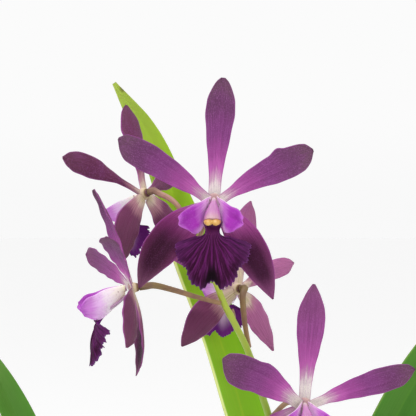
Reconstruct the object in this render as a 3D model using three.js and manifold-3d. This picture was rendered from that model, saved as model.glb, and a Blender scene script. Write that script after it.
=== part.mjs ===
// Potted enanthleya orchid: a clay pot of bark, four pseudobulbs on a creeping rhizome,
// seven strap leaves and one arching stem that carries five wine purple blooms.
// Millimetres, Z up. The centre of the pot's flat underside is the origin, and the main
// bloom looks along minus Y.
import * as THREE from 'three';
import Module from 'manifold-3d';

const wasm = await Module();
wasm.setup();

// Clay pot
const POT_HEIGHT = 105;
const POT_BASE_RADIUS = 42.5;
const POT_RIM_RADIUS = 63.5;
const POT_RIM_DEPTH = 24;
const POT_WALL = 5;
const POT_FLOOR = 6;
const DRAIN_RADIUS = 5;
const DRAIN_RING = 25;

// Bark filling
const BARK_LEVEL = 91;
const BARK_CHIPS = 20;
const GAP = 0.3;

// Rhizome and pseudobulbs
const RHIZOME_LEVEL = 96;
const RHIZOME_RADIUS = 4.2;
const BULB_BASE_LEVEL = 99.9;
const BULB_RADIUS = 11.2;

// Leaves
const LEAF_THICKNESS = 1.6;
const LEAF_EDGE = 0.9;

// Flower stem and pedicels
const STEM_RADIUS = 1.75;
const STEM_TIP_RADIUS = 1.25;
const PEDICEL_RADIUS = 1.25;

// Bloom
const TEPAL_THICKNESS = 0.9;
const DORSAL_WIDTH = 12.6;
const PETAL_WIDTH = 12.4;
const LATERAL_WIDTH = 14.4;
const HUB_RADIUS = 3.1;
const HUB_FRONT = 1.25;
const HUB_BACK = -3.2;
const LIP_THICKNESS = 0.8;
const LIP_FAN_ANGLE = 73;
const LIP_PIVOT = [0, -2, 2.6];
const LIP_RIDGE = 0.45;
const COLUMN_THICKNESS = 1.6;

const vec = (x, y, z) => new THREE.Vector3(x, y, z);
const rad = (degrees) => degrees * Math.PI / 180;
const mix = (a, b, t) => a + (b - a) * t;

// Monotone cubic through (x, y) stations: the width profiles of blades and bulbs.
function curveThrough(stations, t) {
  const n = stations.length;
  const slope = [];
  for (let i = 0; i < n - 1; i++) {
    slope.push((stations[i + 1][1] - stations[i][1]) / (stations[i + 1][0] - stations[i][0]));
  }
  const tangent = [slope[0]];
  for (let i = 1; i < n - 1; i++) {
    const product = slope[i - 1] * slope[i];
    tangent.push(product > 0 ? 2 * product / (slope[i - 1] + slope[i]) : 0);
  }
  tangent.push(slope[n - 2]);
  let k = 0;
  while (k < n - 2 && t > stations[k + 1][0]) k++;
  const h = stations[k + 1][0] - stations[k][0];
  const s = (t - stations[k][0]) / h;
  const keep = (1 + 2 * s) * (1 - s) ** 2 * stations[k][1] + s * s * (3 - 2 * s) * stations[k + 1][1];
  return keep + s * (1 - s) ** 2 * h * tangent[k] + s * s * (s - 1) * h * tangent[k + 1];
}

// A repeatable scatter value between 0 and 1.
function scatter(i, j) {
  const s = Math.sin(i * 127.1 + j * 311.7 + 17.3) * 43758.5453;
  return s - Math.floor(s);
}

// A closed body from points and triangles, turned to face outwards.
function body(points, triangles) {
  let volume = 0;
  for (const [a, b, c] of triangles) {
    volume += points[a].dot(points[b].clone().cross(points[c]));
  }
  const facing = volume < 0 ? triangles.map(([a, b, c]) => [a, c, b]) : triangles;
  return new wasm.Manifold(new wasm.Mesh({
    numProp: 3,
    vertProperties: new Float32Array(points.flatMap((p) => [p.x, p.y, p.z])),
    triVerts: new Uint32Array(facing.flat()),
  }));
}

// A thin sheet between two grids of points; both faces are split along the same diagonals.
function sheet(front, back) {
  const rows = front.length;
  const cols = front[0].length;
  const at = (i, j, side) => side * rows * cols + i * cols + j;
  const triangles = [];
  const wall = (a, b) => {
    triangles.push([at(...a, 0), at(...b, 1), at(...a, 1)]);
    triangles.push([at(...a, 0), at(...b, 0), at(...b, 1)]);
  };
  for (let i = 0; i < rows - 1; i++) {
    for (let j = 0; j < cols - 1; j++) {
      triangles.push([at(i, j, 0), at(i + 1, j, 0), at(i + 1, j + 1, 0)]);
      triangles.push([at(i, j, 0), at(i + 1, j + 1, 0), at(i, j + 1, 0)]);
      triangles.push([at(i, j, 1), at(i + 1, j + 1, 1), at(i + 1, j, 1)]);
      triangles.push([at(i, j, 1), at(i, j + 1, 1), at(i + 1, j + 1, 1)]);
    }
  }
  for (let i = 0; i < rows - 1; i++) {
    wall([i + 1, 0], [i, 0]);
    wall([i, cols - 1], [i + 1, cols - 1]);
  }
  for (let j = 0; j < cols - 1; j++) {
    wall([0, j], [0, j + 1]);
    wall([rows - 1, j + 1], [rows - 1, j]);
  }
  return body([...front.flat(), ...back.flat()], triangles);
}

// A body lofted through closed rings of equal count, with fanned ends.
function loft(rings) {
  const n = rings[0].length;
  const points = rings.flat();
  const centre = (ring) => ring.reduce((s, p) => s.add(p), vec(0, 0, 0)).divideScalar(n);
  const first = points.push(centre(rings[0])) - 1;
  const last = points.push(centre(rings[rings.length - 1])) - 1;
  const triangles = [];
  for (let i = 0; i < rings.length - 1; i++) {
    for (let j = 0; j < n; j++) {
      const k = (j + 1) % n;
      triangles.push([i * n + j, i * n + k, (i + 1) * n + k]);
      triangles.push([i * n + j, (i + 1) * n + k, (i + 1) * n + j]);
    }
  }
  const top = (rings.length - 1) * n;
  for (let j = 0; j < n; j++) {
    const k = (j + 1) % n;
    triangles.push([first, k, j]);
    triangles.push([last, top + j, top + k]);
  }
  return body(points, triangles);
}

// Rings square to a path; width and height give each ring's two half axes.
function ringsAlong(path, width, height, sides, across) {
  const rings = [];
  let side = null;
  path.forEach((p, i) => {
    const before = path[Math.max(i - 1, 0)];
    const after = path[Math.min(i + 1, path.length - 1)];
    const ahead = after.clone().sub(before).normalize();
    side = (side || across || vec(0.3, 1, 0.2)).clone();
    side.addScaledVector(ahead, -side.dot(ahead)).normalize();
    const up = ahead.clone().cross(side);
    const t = i / (path.length - 1);
    const ring = [];
    for (let j = 0; j < sides; j++) {
      const a = 2 * Math.PI * j / sides;
      ring.push(p.clone()
        .addScaledVector(side, width(t) * Math.cos(a))
        .addScaledVector(up, height(t) * Math.sin(a)));
    }
    rings.push(ring);
  });
  return rings;
}

function tube(path, radius, sides) {
  return loft(ringsAlong(path, radius, radius, sides));
}

// Even steps along a smooth curve through the given points.
function smooth(points, steps) {
  const curve = new THREE.CatmullRomCurve3(points, false, 'centripetal');
  return curve.getSpacedPoints(steps);
}

function revolve(profile, sides) {
  const points = [];
  const rows = profile.map(([r, z]) => {
    if (r === 0) return [points.push(vec(0, 0, z)) - 1];
    const row = [];
    for (let j = 0; j < sides; j++) {
      const a = 2 * Math.PI * j / sides;
      row.push(points.push(vec(r * Math.cos(a), r * Math.sin(a), z)) - 1);
    }
    return row;
  });
  const triangles = [];
  for (let i = 0; i < rows.length - 1; i++) {
    for (let j = 0; j < sides; j++) {
      const k = (j + 1) % sides;
      const [a, b] = [rows[i], rows[i + 1]];
      if (a.length > 1) triangles.push([a[j], a[k], b[k % b.length]]);
      if (b.length > 1) triangles.push([a[j % a.length], b[k], b[j]]);
    }
  }
  return body(points, triangles);
}

function join(bodies) {
  return bodies.reduce((sum, next) => sum.add(next));
}

function largest(solid) {
  return solid.decompose().sort((a, b) => b.volume() - a.volume())[0];
}

const model = new THREE.Group();

function addNode(name, solid, colour, roughness) {
  const mesh = solid.getMesh();
  const geometry = new THREE.BufferGeometry();
  const position = new Float32Array(mesh.vertProperties);
  geometry.setAttribute('position', new THREE.BufferAttribute(position, 3));
  geometry.setIndex(new THREE.BufferAttribute(new Uint32Array(mesh.triVerts), 1));
  geometry.computeVertexNormals();
  const material = new THREE.MeshStandardMaterial({ color: colour, roughness, metalness: 0 });
  const node = new THREE.Mesh(geometry, material);
  node.name = name;
  model.add(node);
}

// Pot: a thick tapered wall, a plain band for the rim and four drain holes in the floor.
const rimFoot = POT_HEIGHT - POT_RIM_DEPTH;
const bandFoot = POT_RIM_RADIUS - 4.5;
const potInside = (z) => mix(POT_BASE_RADIUS - 4, POT_RIM_RADIUS - POT_WALL - 0.6, (z - POT_FLOOR) / 97);
let pot = revolve([
  [0, 0],
  [POT_BASE_RADIUS - 1, 0],
  [POT_BASE_RADIUS, 1.2],
  [bandFoot, rimFoot],
  [POT_RIM_RADIUS - 1, rimFoot],
  [POT_RIM_RADIUS, rimFoot + 1.2],
  [POT_RIM_RADIUS, POT_HEIGHT - 1.6],
  [POT_RIM_RADIUS - 1.4, POT_HEIGHT],
  [POT_RIM_RADIUS - POT_WALL + 0.8, POT_HEIGHT],
  [POT_RIM_RADIUS - POT_WALL - 0.4, POT_HEIGHT - 1.4],
  [potInside(POT_FLOOR + 2), POT_FLOOR + 2],
  [potInside(POT_FLOOR) - 1.8, POT_FLOOR],
  [0, POT_FLOOR],
], 40);
for (let i = 0; i < 4; i++) {
  const a = rad(45 + 90 * i);
  const drain = tube([
    vec(DRAIN_RING * Math.cos(a), DRAIN_RING * Math.sin(a), -2),
    vec(DRAIN_RING * Math.cos(a), DRAIN_RING * Math.sin(a), POT_FLOOR + 2),
  ], () => DRAIN_RADIUS, 12);
  pot = pot.subtract(drain);
}
addNode('pot', pot, 0xb5694a, 0.85);

// Pseudobulbs: spindle shaped and faintly ribbed, each leaning its own way.
const BULBS = [
  { x: 22, y: 2, topX: 21, topY: 4, top: 172, girth: 1 },
  { x: -2, y: 3, topX: -5, topY: 10, top: 163, girth: 0.98 },
  { x: -24, y: -1, topX: -30, topY: -3, top: 156, girth: 0.92 },
  { x: -43, y: 5, topX: -55, topY: 8, top: 150, girth: 0.84 },
];
const BULB_PROFILE = [[0, 0.4], [0.1, 0.62], [0.3, 0.94], [0.48, 1], [0.7, 0.84], [0.88, 0.6], [1, 0.56]];
function bulb({ x, y, topX, topY, top, girth }, grow) {
  const rings = [];
  for (let i = 0; i <= 8; i++) {
    const t = i / 8;
    const ring = [];
    for (let j = 0; j < 12; j++) {
      const a = 2 * Math.PI * j / 12;
      const rib = 1 + 0.035 * (j % 2 ? -1 : 1) * Math.sin(Math.PI * t);
      const r = BULB_RADIUS * girth * curveThrough(BULB_PROFILE, t) * rib + grow;
      const lean = t * t;
      ring.push(vec(
        mix(x, topX, lean) + r * Math.cos(a),
        mix(y, topY, lean) + r * Math.sin(a),
        mix(BULB_BASE_LEVEL - grow, top, t),
      ));
    }
    rings.push(ring);
  }
  return loft(rings);
}
BULBS.forEach((spec, i) => addNode(`pseudobulb_${i + 1}`, bulb(spec, 0), 0x8f9b4a, 0.6));

// Rhizome and roots: a jointed creeping stem with pale roots that dive into the bark.
const RHIZOME_PATH = [[37, 7], [22, 2], [10, 4], [-2, 3], [-13, 1], [-24, -1], [-34, 2], [-43, 5], [-52, 8]];
const ROOTS = [
  [[30, 4, 96], [36, -10, 97.5], [34, -26, 98], [24, -38, 90]],
  [[8, 4, 96], [6, -12, 98], [-4, -26, 98], [-8, -40, 89]],
  [[-13, 1, 96], [-20, 16, 98], [-18, 30, 97.5], [-26, 42, 89]],
  [[10, 4, 96], [16, 18, 98], [26, 30, 97.5], [28, 42, 89]],
  [[-34, 2, 96], [-38, -12, 97.5], [-34, -26, 98], [-24, -38, 89]],
];
function rhizome(grow) {
  const line = smooth(RHIZOME_PATH.map(([x, y]) => vec(x, y, RHIZOME_LEVEL)), 12);
  const bodies = [tube(line, (t) => {
    const joint = 1 + 0.08 * Math.cos(t * 2 * Math.PI * 8);
    return RHIZOME_RADIUS * joint * (t < 0.04 || t > 0.96 ? 0.7 : 1) * 0.93 + grow;
  }, 7)];
  for (const points of ROOTS) {
    const path = smooth(points.map((p) => vec(...p)), 6);
    bodies.push(tube(path, (t) => mix(1.7, 1.1, t) + grow, 5));
  }
  return join(bodies);
}
addNode('rhizome', rhizome(0), 0xa39a76, 0.8);

// Bark: a packed core with loose chips on top, cut clear of whatever grows through it.
const coreEdge = (z) => potInside(z) - GAP - 0.2;
let bark = revolve([
  [0, POT_FLOOR + GAP],
  [potInside(POT_FLOOR) - 2.6, POT_FLOOR + GAP],
  [coreEdge(POT_FLOOR + 3) - 0.4, POT_FLOOR + 3],
  [coreEdge(BARK_LEVEL), BARK_LEVEL],
  [0, BARK_LEVEL + 1.5],
], 24);
for (let i = 0; i < BARK_CHIPS; i++) {
  const turn = i * 2.39996;
  const ring = 49 * Math.sqrt((i + 0.5) / BARK_CHIPS);
  const long = 12 + 9 * scatter(i, 1);
  const wide = 8 + 5 * scatter(i, 2);
  const deep = 5 + 3 * scatter(i, 3);
  const chip = wasm.Manifold.cube([long, wide, deep], true)
    .rotate([34 * (scatter(i, 4) - 0.5), 34 * (scatter(i, 5) - 0.5), 360 * scatter(i, 6)])
    .translate([ring * Math.cos(turn), ring * Math.sin(turn), BARK_LEVEL + 0.8 + 2.6 * scatter(i, 7)]);
  bark = bark.add(chip);
}
const bowl = revolve([
  [0, POT_FLOOR],
  [coreEdge(POT_FLOOR), POT_FLOOR],
  [coreEdge(POT_HEIGHT), POT_HEIGHT],
  [0, POT_HEIGHT],
], 24);
bark = bark.intersect(bowl).subtract(rhizome(GAP));
BULBS.forEach(({ x, y, girth }) => {
  const clear = tube([vec(x, y, RHIZOME_LEVEL), vec(x, y, POT_HEIGHT)], () => BULB_RADIUS * girth, 9);
  bark = bark.subtract(clear);
});
addNode('bark', largest(bark), 0x6f4a30, 0.95);

// Leaves: keeled straps, folded at the foot and opening upwards. Each runs through its
// listed points; face is the bearing of its upper side at foot and tip, 0 towards minus Y.
const LEAVES = [
  {
    path: [[16.2, 6.2, 172.6], [12, 14, 222], [-6.3, 28, 299], [-27, 44, 363], [-46.5, 55, 420], [-66, 62, 450.5]],
    width: 20.5, face: [60, 4], fold: 0.34,
  },
  {
    path: [[-58, 9, 151], [-71, 12, 195], [-90, 14, 252], [-108, 14, 302], [-128, 14, 338]],
    width: 17, face: [70, 24], fold: 0.4,
  },
  {
    path: [[26.2, 4.8, 172.6], [34, 10, 218], [46, 12, 262], [62.5, 12, 302.5], [86, 14, 337], [115, 18, 360.5]],
    width: 19, face: [-70, -18], fold: 0.38,
  },
  {
    path: [[-5, 14, 164], [-4, 34, 210], [4, 68, 254], [14, 108, 272], [22, 146, 262]],
    width: 19, face: [0, 0], fold: 0.36,
  },
  {
    path: [[-5.5, 5.8, 164], [-6, -16, 204], [-12, -54, 240], [-20, -96, 248], [-26, -134, 226]],
    width: 18, face: [180, 180], fold: 0.36,
  },
  {
    path: [[-32, 1, 157], [-44, 22, 196], [-66, 52, 232], [-96, 82, 246], [-128, 106, 232]],
    width: 18, face: [40, 40], fold: 0.38,
  },
  {
    path: [[-32, -7, 157], [-44, -26, 192], [-66, -50, 220], [-94, -74, 226], [-122, -96, 206]],
    width: 17, face: [132, 132], fold: 0.38,
  },
];
const LEAF_WIDTH = [[0, 0.4], [0.1, 0.5], [0.3, 0.84], [0.5, 1], [0.7, 0.97], [0.85, 0.78], [0.95, 0.48], [1, 0.16]];
LEAVES.forEach(({ path, width, face, fold }, index) => {
  const line = smooth(path.map((p) => vec(...p)), 11);
  const front = [];
  const back = [];
  line.forEach((p, i) => {
    const t = i / 11;
    const before = line[Math.max(i - 1, 0)];
    const after = line[Math.min(i + 1, 11)];
    const ahead = after.clone().sub(before).normalize();
    const bearing = rad(mix(face[0], face[1], Math.min(1, 1.6 * t)));
    const side = vec(Math.cos(bearing), Math.sin(bearing), 0);
    side.addScaledVector(ahead, -side.dot(ahead)).normalize();
    const normal = side.clone().cross(ahead);
    const half = width / 2 * curveThrough(LEAF_WIDTH, t);
    const lift = mix(1.15, fold, Math.min(1, t * 2.2));
    const frontRow = [];
    const backRow = [];
    for (const q of [-1, -0.5, 0, 0.5, 1]) {
      const lay = p.clone()
        .addScaledVector(side, half * q / Math.sqrt(1 + 0.5 * lift * lift))
        .addScaledVector(normal, half * lift * Math.abs(q) ** 1.25);
      frontRow.push(lay);
      const thick = mix(LEAF_THICKNESS, LEAF_EDGE, Math.abs(q));
      backRow.push(lay.clone().addScaledVector(normal, -thick));
    }
    front.push(frontRow);
    back.push(backRow);
  });
  addNode(`leaf_${index + 1}`, sheet(front, back), index < 3 ? 0x6fa02c : 0x5d8f2f, 0.55);
});

// Flower stem: slender and arching, with a small scale leaf below every pedicel.
const STEM_PATH = [
  [21, 2, 172.6], [20.5, -3, 205], [16, -8, 250], [4.1, -10, 302.5], [1.8, -10, 309.8],
  [-5, -10, 330.9], [-10.2, -10, 341.6], [-15, -10, 350.8], [-18.6, -10, 359.7],
  [-22.4, -10, 368.6], [-26.2, -10, 377.5], [-29.3, -10.5, 384.5], [-30.6, -11.5, 388],
];
const stemLine = smooth(STEM_PATH.map((p) => vec(...p)), 22);
const stemRadius = (t) => mix(STEM_RADIUS, STEM_TIP_RADIUS, t ** 1.5);
const stemBodies = [tube(stemLine, stemRadius, 7)];
const SCALES = [[6.6, -9.8, 290.6, 10, 7], [-3.4, -10, 326, 200, 7], [-12.4, -10, 346, 150, 5],
  [-24.3, -10, 373, 60, 6], [-28.4, -10.2, 382, 140, 6]];
SCALES.forEach(([x, y, z, lean, tall]) => {
  const a = rad(lean);
  const front = [];
  const back = [];
  for (const t of [0, 0.5, 1]) {
    const half = 2.1 * (1 - 0.8 * t);
    const out = 1.1 + 1.3 * t;
    const row = [-1, 0, 1].map((q) => vec(
      x + half * q * Math.cos(a) + out * Math.sin(a),
      y - out * Math.cos(a) + 0.5 * Math.abs(q),
      z - 1.5 + tall * t * 0.8,
    ));
    front.push(row);
    back.push(row.map((p) => p.clone().add(vec(-0.75 * Math.sin(a), 0.75 * Math.cos(a), 0))));
  }
  stemBodies.push(sheet(front, back));
});
addNode('flower_stem', join(stemBodies), 0x9fb83c, 0.6);

// Blooms. Each has a place, a facing (bearing and pitch of the way it looks, then its own
// roll) and five tepals. A tepal lists length, heading in the bloom's face from straight up,
// sideways bend, forward lean, curl, twist at foot, added twist, width factor, foot offsets.
// A lip lists its turn sideways, up and round from the bloom's facing, then its size.
const DORSAL = [[0, 0.4], [0.15, 0.43], [0.3, 0.56], [0.45, 0.74], [0.6, 0.88], [0.72, 1], [0.8, 0.96],
  [0.9, 0.7], [0.97, 0.4], [1, 0.14]];
const KEEN_DORSAL = [[0, 0.4], [0.15, 0.43], [0.3, 0.56], [0.45, 0.76], [0.6, 0.94], [0.7, 1], [0.8, 0.88],
  [0.9, 0.58], [0.97, 0.26], [1, 0.1]];
const PETAL = [[0, 0.34], [0.15, 0.4], [0.28, 0.62], [0.42, 0.8], [0.57, 0.92], [0.72, 1], [0.85, 0.92],
  [0.94, 0.62], [1, 0.08]];
const SLIM_PETAL = [[0, 0.26], [0.15, 0.27], [0.28, 0.38], [0.42, 0.64], [0.55, 0.93], [0.66, 1], [0.8, 0.94],
  [0.92, 0.66], [1, 0.08]];
const LATERAL = [[0, 0.36], [0.15, 0.62], [0.3, 0.88], [0.45, 1], [0.6, 0.96], [0.75, 0.74], [0.88, 0.42],
  [1, 0.05]];
const STATIONS = [0, 0.2, 0.4, 0.58, 0.74, 0.9, 1];
const BLOOMS = [
  {
    at: [-19.5, -38, 395.4], facing: [0, -2, 0],
    dorsal: [50.3, 4.3, 2, 10, -14, 0, 0, 0.98, 0, 0],
    petalRight: [45.2, 62.5, 12, 10, -16, 0, 0, 1, 1, -1.4],
    petalLeft: [47.2, -57, -16, 12, -16, 0, 0, 0.96, -0.6, -1.6],
    lateralRight: [46, 149.5, 22, 10, -16, 0, 0, 1, 0.8, -1.2],
    lateralLeft: [46.3, -138.7, -42, 12, -16, 0, 0, 1.08, -0.8, -2.2],
    lip: [-4, 0, 0, 1],
    pedicel: [[-20.4, -25, 391.5], [-24.2, -17.5, 383.5]], foot: 378,
  },
  {
    at: [-50.2, 8, 398.2], facing: [-136, -12, 0],
    dorsal: [46, -12, 4, 16.5, -10, 0, 0, 0.94, 0, 0],
    petalRight: [42.4, 66.4, 12, 6, -12, 0, 18, 0.8, 0.6, -0.6],
    petalLeft: [42, -67, -4, 20, -6, 0, 0, 0.86, -0.6, -0.6],
    lateralRight: [42, 139.3, 16, -14, -14, 0, 0, 0.92, 0.8, -1],
    lateralLeft: [43, -129.6, -24, 13, -10, 0, 0, 1, -0.8, -1],
    outlines: { petalRight: SLIM_PETAL, petalLeft: SLIM_PETAL },
    lip: [12, 2, 0, 0.72],
    pedicel: [[-43, -0.5, 398.2], [-36.5, -6.5, 394.5]], foot: 386.6,
  },
  {
    at: [-54.3, -30, 358.4], facing: [-83.6, -7, -12],
    dorsal: [44.6, -3.2, 2, 13, -8, -14, 0, 0.98, 0, 0],
    petalRight: [43.6, 69, 12, 13, 10, -20, -50, 0.74, 0.6, -0.6],
    petalLeft: [44.3, -56, -12, 20, 10, 0, 0, 1, -0.6, -0.6],
    lateralRight: [42.8, 131, 16, 9.5, 13, 5, -48, 0.92, 0.8, -1],
    lateralLeft: [43.2, -138.5, -16, 2, 34, 0, 10, 1, -0.8, -1],
    lip: [0, 8, 12, 0.96],
    pedicel: [[-45, -27, 359.4], [-36, -21.5, 357], [-27, -16, 354]], foot: 351,
  },
  {
    at: [-9.3, 4, 356.5], facing: [-148, -5, -13.4],
    dorsal: [46, -12.8, 2, 19, -10, 0, 0, 0.95, 0, 0],
    petalLeft: [44.2, -61.4, -12, 19.6, -10, 0, 0, 0.86, -0.6, -0.6],
    petalRight: [43.4, 60.6, 12, 24, -10, 0, 0, 1, 0.6, -0.6],
    lateralLeft: [40.6, -122.2, -16, 22, -12, 0, 0, 0.92, -0.8, -1],
    lateralRight: [39.5, 139.1, 16, -9.4, -12, 0, 0, 0.94, 0.8, -1],
    outlines: { dorsal: KEEN_DORSAL },
    lip: [-15, 27, 8, 0.76],
    pedicel: [[-6.9, -3.3, 354.4], [-6.6, -4.8, 347], [-5.6, -6, 339]], foot: 331,
  },
  {
    at: [17.6, -45, 311.2], facing: [5, -3, 0],
    dorsal: [49.6, 3.2, 2, 7, -14, 0, 0, 0.93, 0, 0],
    petalRight: [46.6, 70.6, 8, 15, -16, 0, 0, 0.88, 1, -1.2],
    petalLeft: [45.6, -59, -20, 26, -16, 0, 0, 1, -0.6, -1.2],
    lateralRight: [46, 150, 22, 13, -16, 0, 0, 1, 0.8, -1.2],
    lateralLeft: [46, -137, -38, 10, -16, 0, 0, 1, -0.8, -2],
    outlines: { dorsal: KEEN_DORSAL },
    lip: [0, 0, 0, 1],
    pedicel: [[15.5, -34, 310.9], [11.2, -22, 309.2]], foot: 301.5,
  },
];

// A tepal in the bloom's own axes: X to its right, Y up its face, Z the way it looks.
function tepal([length, heading, bend, lean, curl, twistFoot, twist, , offX, offY], width, profile, cup) {
  const front = [];
  const back = [];
  const steps = 48;
  const place = vec(offX, offY, 0);
  const ahead = (t) => {
    const h = rad(heading + bend * (t - 0.5));
    const f = rad(lean + curl * (t - 0.5));
    return vec(Math.cos(f) * Math.sin(h), Math.cos(f) * Math.cos(h), Math.sin(f));
  };
  place.addScaledVector(ahead(0), 1.2);
  let next = 0;
  for (let i = 0; i <= steps; i++) {
    const t = i / steps;
    if (i > 0) place.addScaledVector(ahead(t - 0.5 / steps), length / steps);
    if (t + 0.5 / steps < STATIONS[next]) continue;
    next++;
    const h = rad(heading + bend * (t - 0.5));
    const flat = vec(Math.cos(h), -Math.sin(h), 0);
    const up = flat.clone().cross(ahead(t));
    const turn = rad(twistFoot + twist * t);
    const side = flat.clone().multiplyScalar(Math.cos(turn)).addScaledVector(up, Math.sin(turn));
    const normal = up.clone().multiplyScalar(Math.cos(turn)).addScaledVector(flat, -Math.sin(turn));
    const half = width / 2 * curveThrough(profile, t);
    const frontRow = [];
    const backRow = [];
    for (const q of [-1, -0.5, 0, 0.5, 1]) {
      const wave = 0.35 * Math.sin(9 * t + 2 * q) * q * q * Math.min(1, 3 * t);
      const lay = place.clone()
        .addScaledVector(side, half * q)
        .addScaledVector(normal, cup * half * q * q * Math.min(1, 4 * t) + wave);
      frontRow.push(lay);
      backRow.push(lay.clone().addScaledVector(normal, -TEPAL_THICKNESS));
    }
    front.push(frontRow);
    back.push(backRow);
  }
  return sheet(front, back);
}

// Side lobe of the lip: a wing that stands beside the column and flares out at its end.
const LOBE_LOW = [[1.3, -2.9, 3.1], [2.3, -5.6, 5.8], [3.6, -9.8, 9.2], [4.9, -12.6, 12.9], [6.8, -13.2, 17],
  [9.6, -11.8, 20.4]];
const LOBE_HIGH = [[1.2, 1.6, 3], [2.1, 1.2, 6], [3.9, 0.2, 10.6], [7.3, -1.7, 15.6], [11.2, -3.8, 20],
  [13, -6.4, 22.4]];
function sideLobe(mirror) {
  const low = smooth(LOBE_LOW.map((p) => vec(...p)), 6);
  const high = smooth(LOBE_HIGH.map((p) => vec(...p)), 6);
  const rows = low.map((p, i) => [0, 0.33, 0.67, 1].map((s) => {
    const t = i / 6;
    const q = p.clone().lerp(high[i], s);
    q.x += 4 * s * (1 - s) * (0.5 + 0.9 * t);
    q.z += 1.4 * Math.sin(Math.PI * s) * t ** 6;
    return q;
  }));
  const front = [];
  const back = [];
  rows.forEach((row, i) => {
    const frontRow = [];
    const backRow = [];
    row.forEach((p, j) => {
      const along = rows[Math.min(i + 1, 6)][j].clone().sub(rows[Math.max(i - 1, 0)][j]);
      const across = row[Math.min(j + 1, 3)].clone().sub(row[Math.max(j - 1, 0)]);
      const normal = along.cross(across).normalize();
      const inner = p.clone().addScaledVector(normal, LIP_THICKNESS / 2);
      const outer = p.clone().addScaledVector(normal, -LIP_THICKNESS / 2);
      if (mirror) {
        inner.x = -inner.x;
        outer.x = -outer.x;
      }
      frontRow.push(inner);
      backRow.push(outer);
    });
    front.push(frontRow);
    back.push(backRow);
  });
  return sheet(front, back);
}

// Middle lobe of the lip: a claw under the column that opens into a ridged, toothed fan.
const FAN_REACH = [[-1, 14.2], [-0.93, 16.8], [-0.82, 18], [-0.62, 18.6], [-0.45, 19.2], [-0.3, 22], [-0.14, 24.6],
  [0, 19.8], [0.14, 24.6], [0.3, 22], [0.45, 19.2], [0.62, 18.6], [0.82, 18], [0.93, 16.8], [1, 14.2]];
const CLAW = [[0, -3, 2.8, 2.2], [0, -5.9, 5.7, 3.6], [0, -9.4, 9.9, 4.7], [0, -12.1, 12.4, 2.9]];
function fan() {
  const columns = 13;
  const front = [];
  const back = [];
  const emit = (points, normals) => {
    front.push(points);
    back.push(points.map((p, j) => p.clone().addScaledVector(normals[j], -LIP_THICKNESS)));
  };
  CLAW.forEach(([, v, n, half]) => {
    const points = [];
    const normals = [];
    for (let j = 0; j < columns; j++) {
      const a = -1 + 2 * j / (columns - 1);
      points.push(vec(half * a, v + 0.5 * half * a * a * 0.5, n));
      normals.push(vec(0, 0.78, 0.62));
    }
    emit(points, normals);
  });
  for (const r of [0.14, 0.32, 0.56, 0.8, 1]) {
    const points = [];
    const normals = [];
    for (let j = 0; j < columns; j++) {
      const a = -1 + 2 * j / (columns - 1);
      const spread = rad(LIP_FAN_ANGLE * a * Math.min(1, 0.35 + 1.3 * r));
      const tooth = (j % 2 ? -0.55 : 0.55) * r ** 5;
      const reach = curveThrough(FAN_REACH, a) * r + tooth;
      const u = reach * Math.sin(spread) + 2.9 * a * (1 - r) ** 2;
      const v = -12.4 - reach * Math.cos(spread);
      const ruffle = 0.9 * Math.sin(j * 1.9 + 0.6) * r ** 4;
      const ridge = (j % 2 ? 0 : LIP_RIDGE) * Math.sin(Math.PI * Math.min(1, 0.1 + r));
      const n = 13.2 + 4.4 * Math.sin(r * 1.9) - 7.2 * (u / 15) ** 2 + ruffle + ridge;
      points.push(vec(u, v, n));
      normals.push(vec(0.55 * a * r, 0.62 * (1 - r), 1).normalize());
    }
    emit(points, normals);
  }
  return sheet(front, back);
}

// Column: an arched rod over the lip, broad and flat at its end.
function column() {
  const path = smooth([vec(0, 0.2, 2.3), vec(0, -1.3, 5.2), vec(0, -4.2, 9.6), vec(0, -7.9, 13.2)], 5);
  return loft(ringsAlong(
    path,
    (t) => curveThrough([[0, 0.95], [0.3, 1.5], [0.7, 3], [1, 3.7]], t),
    (t) => curveThrough([[0, 1], [0.5, COLUMN_THICKNESS], [1, 1.5]], t),
    8,
    vec(1, 0, 0),
  ));
}

// Anther cap: two little rounded lobes that close the end of the column.
function antherCap() {
  const lobe = (x) => loft(ringsAlong(
    [vec(x, -8.5, 13.75), vec(x, -8.9, 14.2), vec(x, -9.4, 14.8), vec(x, -9.8, 15.2)],
    (t) => 2 * Math.sqrt(1 - 0.9 * t * t),
    (t) => 1.3 * Math.sqrt(1 - 0.9 * t * t),
    7,
    vec(1, 0, 0),
  ));
  return lobe(-1.6).add(lobe(1.6));
}

// Hub: the short stub that the tepals, lip and column spring from.
function hub() {
  const path = [vec(0, 0, HUB_BACK), vec(0, 0, -1.4), vec(0, 0, 0), vec(0, 0, HUB_FRONT)];
  return loft(ringsAlong(path, (t) => HUB_RADIUS * (t > 0 ? 1 : 0.6), (t) => HUB_RADIUS * (t > 0 ? 1 : 0.6), 10));
}

const SHAPES = [
  ['dorsal', DORSAL_WIDTH, DORSAL, 0.12],
  ['petalRight', PETAL_WIDTH, PETAL, 0.1],
  ['petalLeft', PETAL_WIDTH, PETAL, 0.1],
  ['lateralRight', LATERAL_WIDTH, LATERAL, 0.15],
  ['lateralLeft', LATERAL_WIDTH, LATERAL, 0.15],
];
const axesOf = (bearing, pitch, roll) => {
  const look = vec(
    Math.sin(bearing) * Math.cos(pitch),
    -Math.cos(bearing) * Math.cos(pitch),
    Math.sin(pitch),
  );
  const rise = vec(
    -Math.sin(bearing) * Math.sin(pitch),
    Math.cos(bearing) * Math.sin(pitch),
    Math.cos(pitch),
  );
  const across = rise.clone().cross(look);
  const right = across.clone().multiplyScalar(Math.cos(roll)).addScaledVector(rise, -Math.sin(roll));
  const up = rise.clone().multiplyScalar(Math.cos(roll)).addScaledVector(across, Math.sin(roll));
  return [right, up, look];
};
const inAxes = (axes, p) => axes.reduce((s, axis, i) => s.addScaledVector(axis, p[i]), vec(0, 0, 0));
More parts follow.
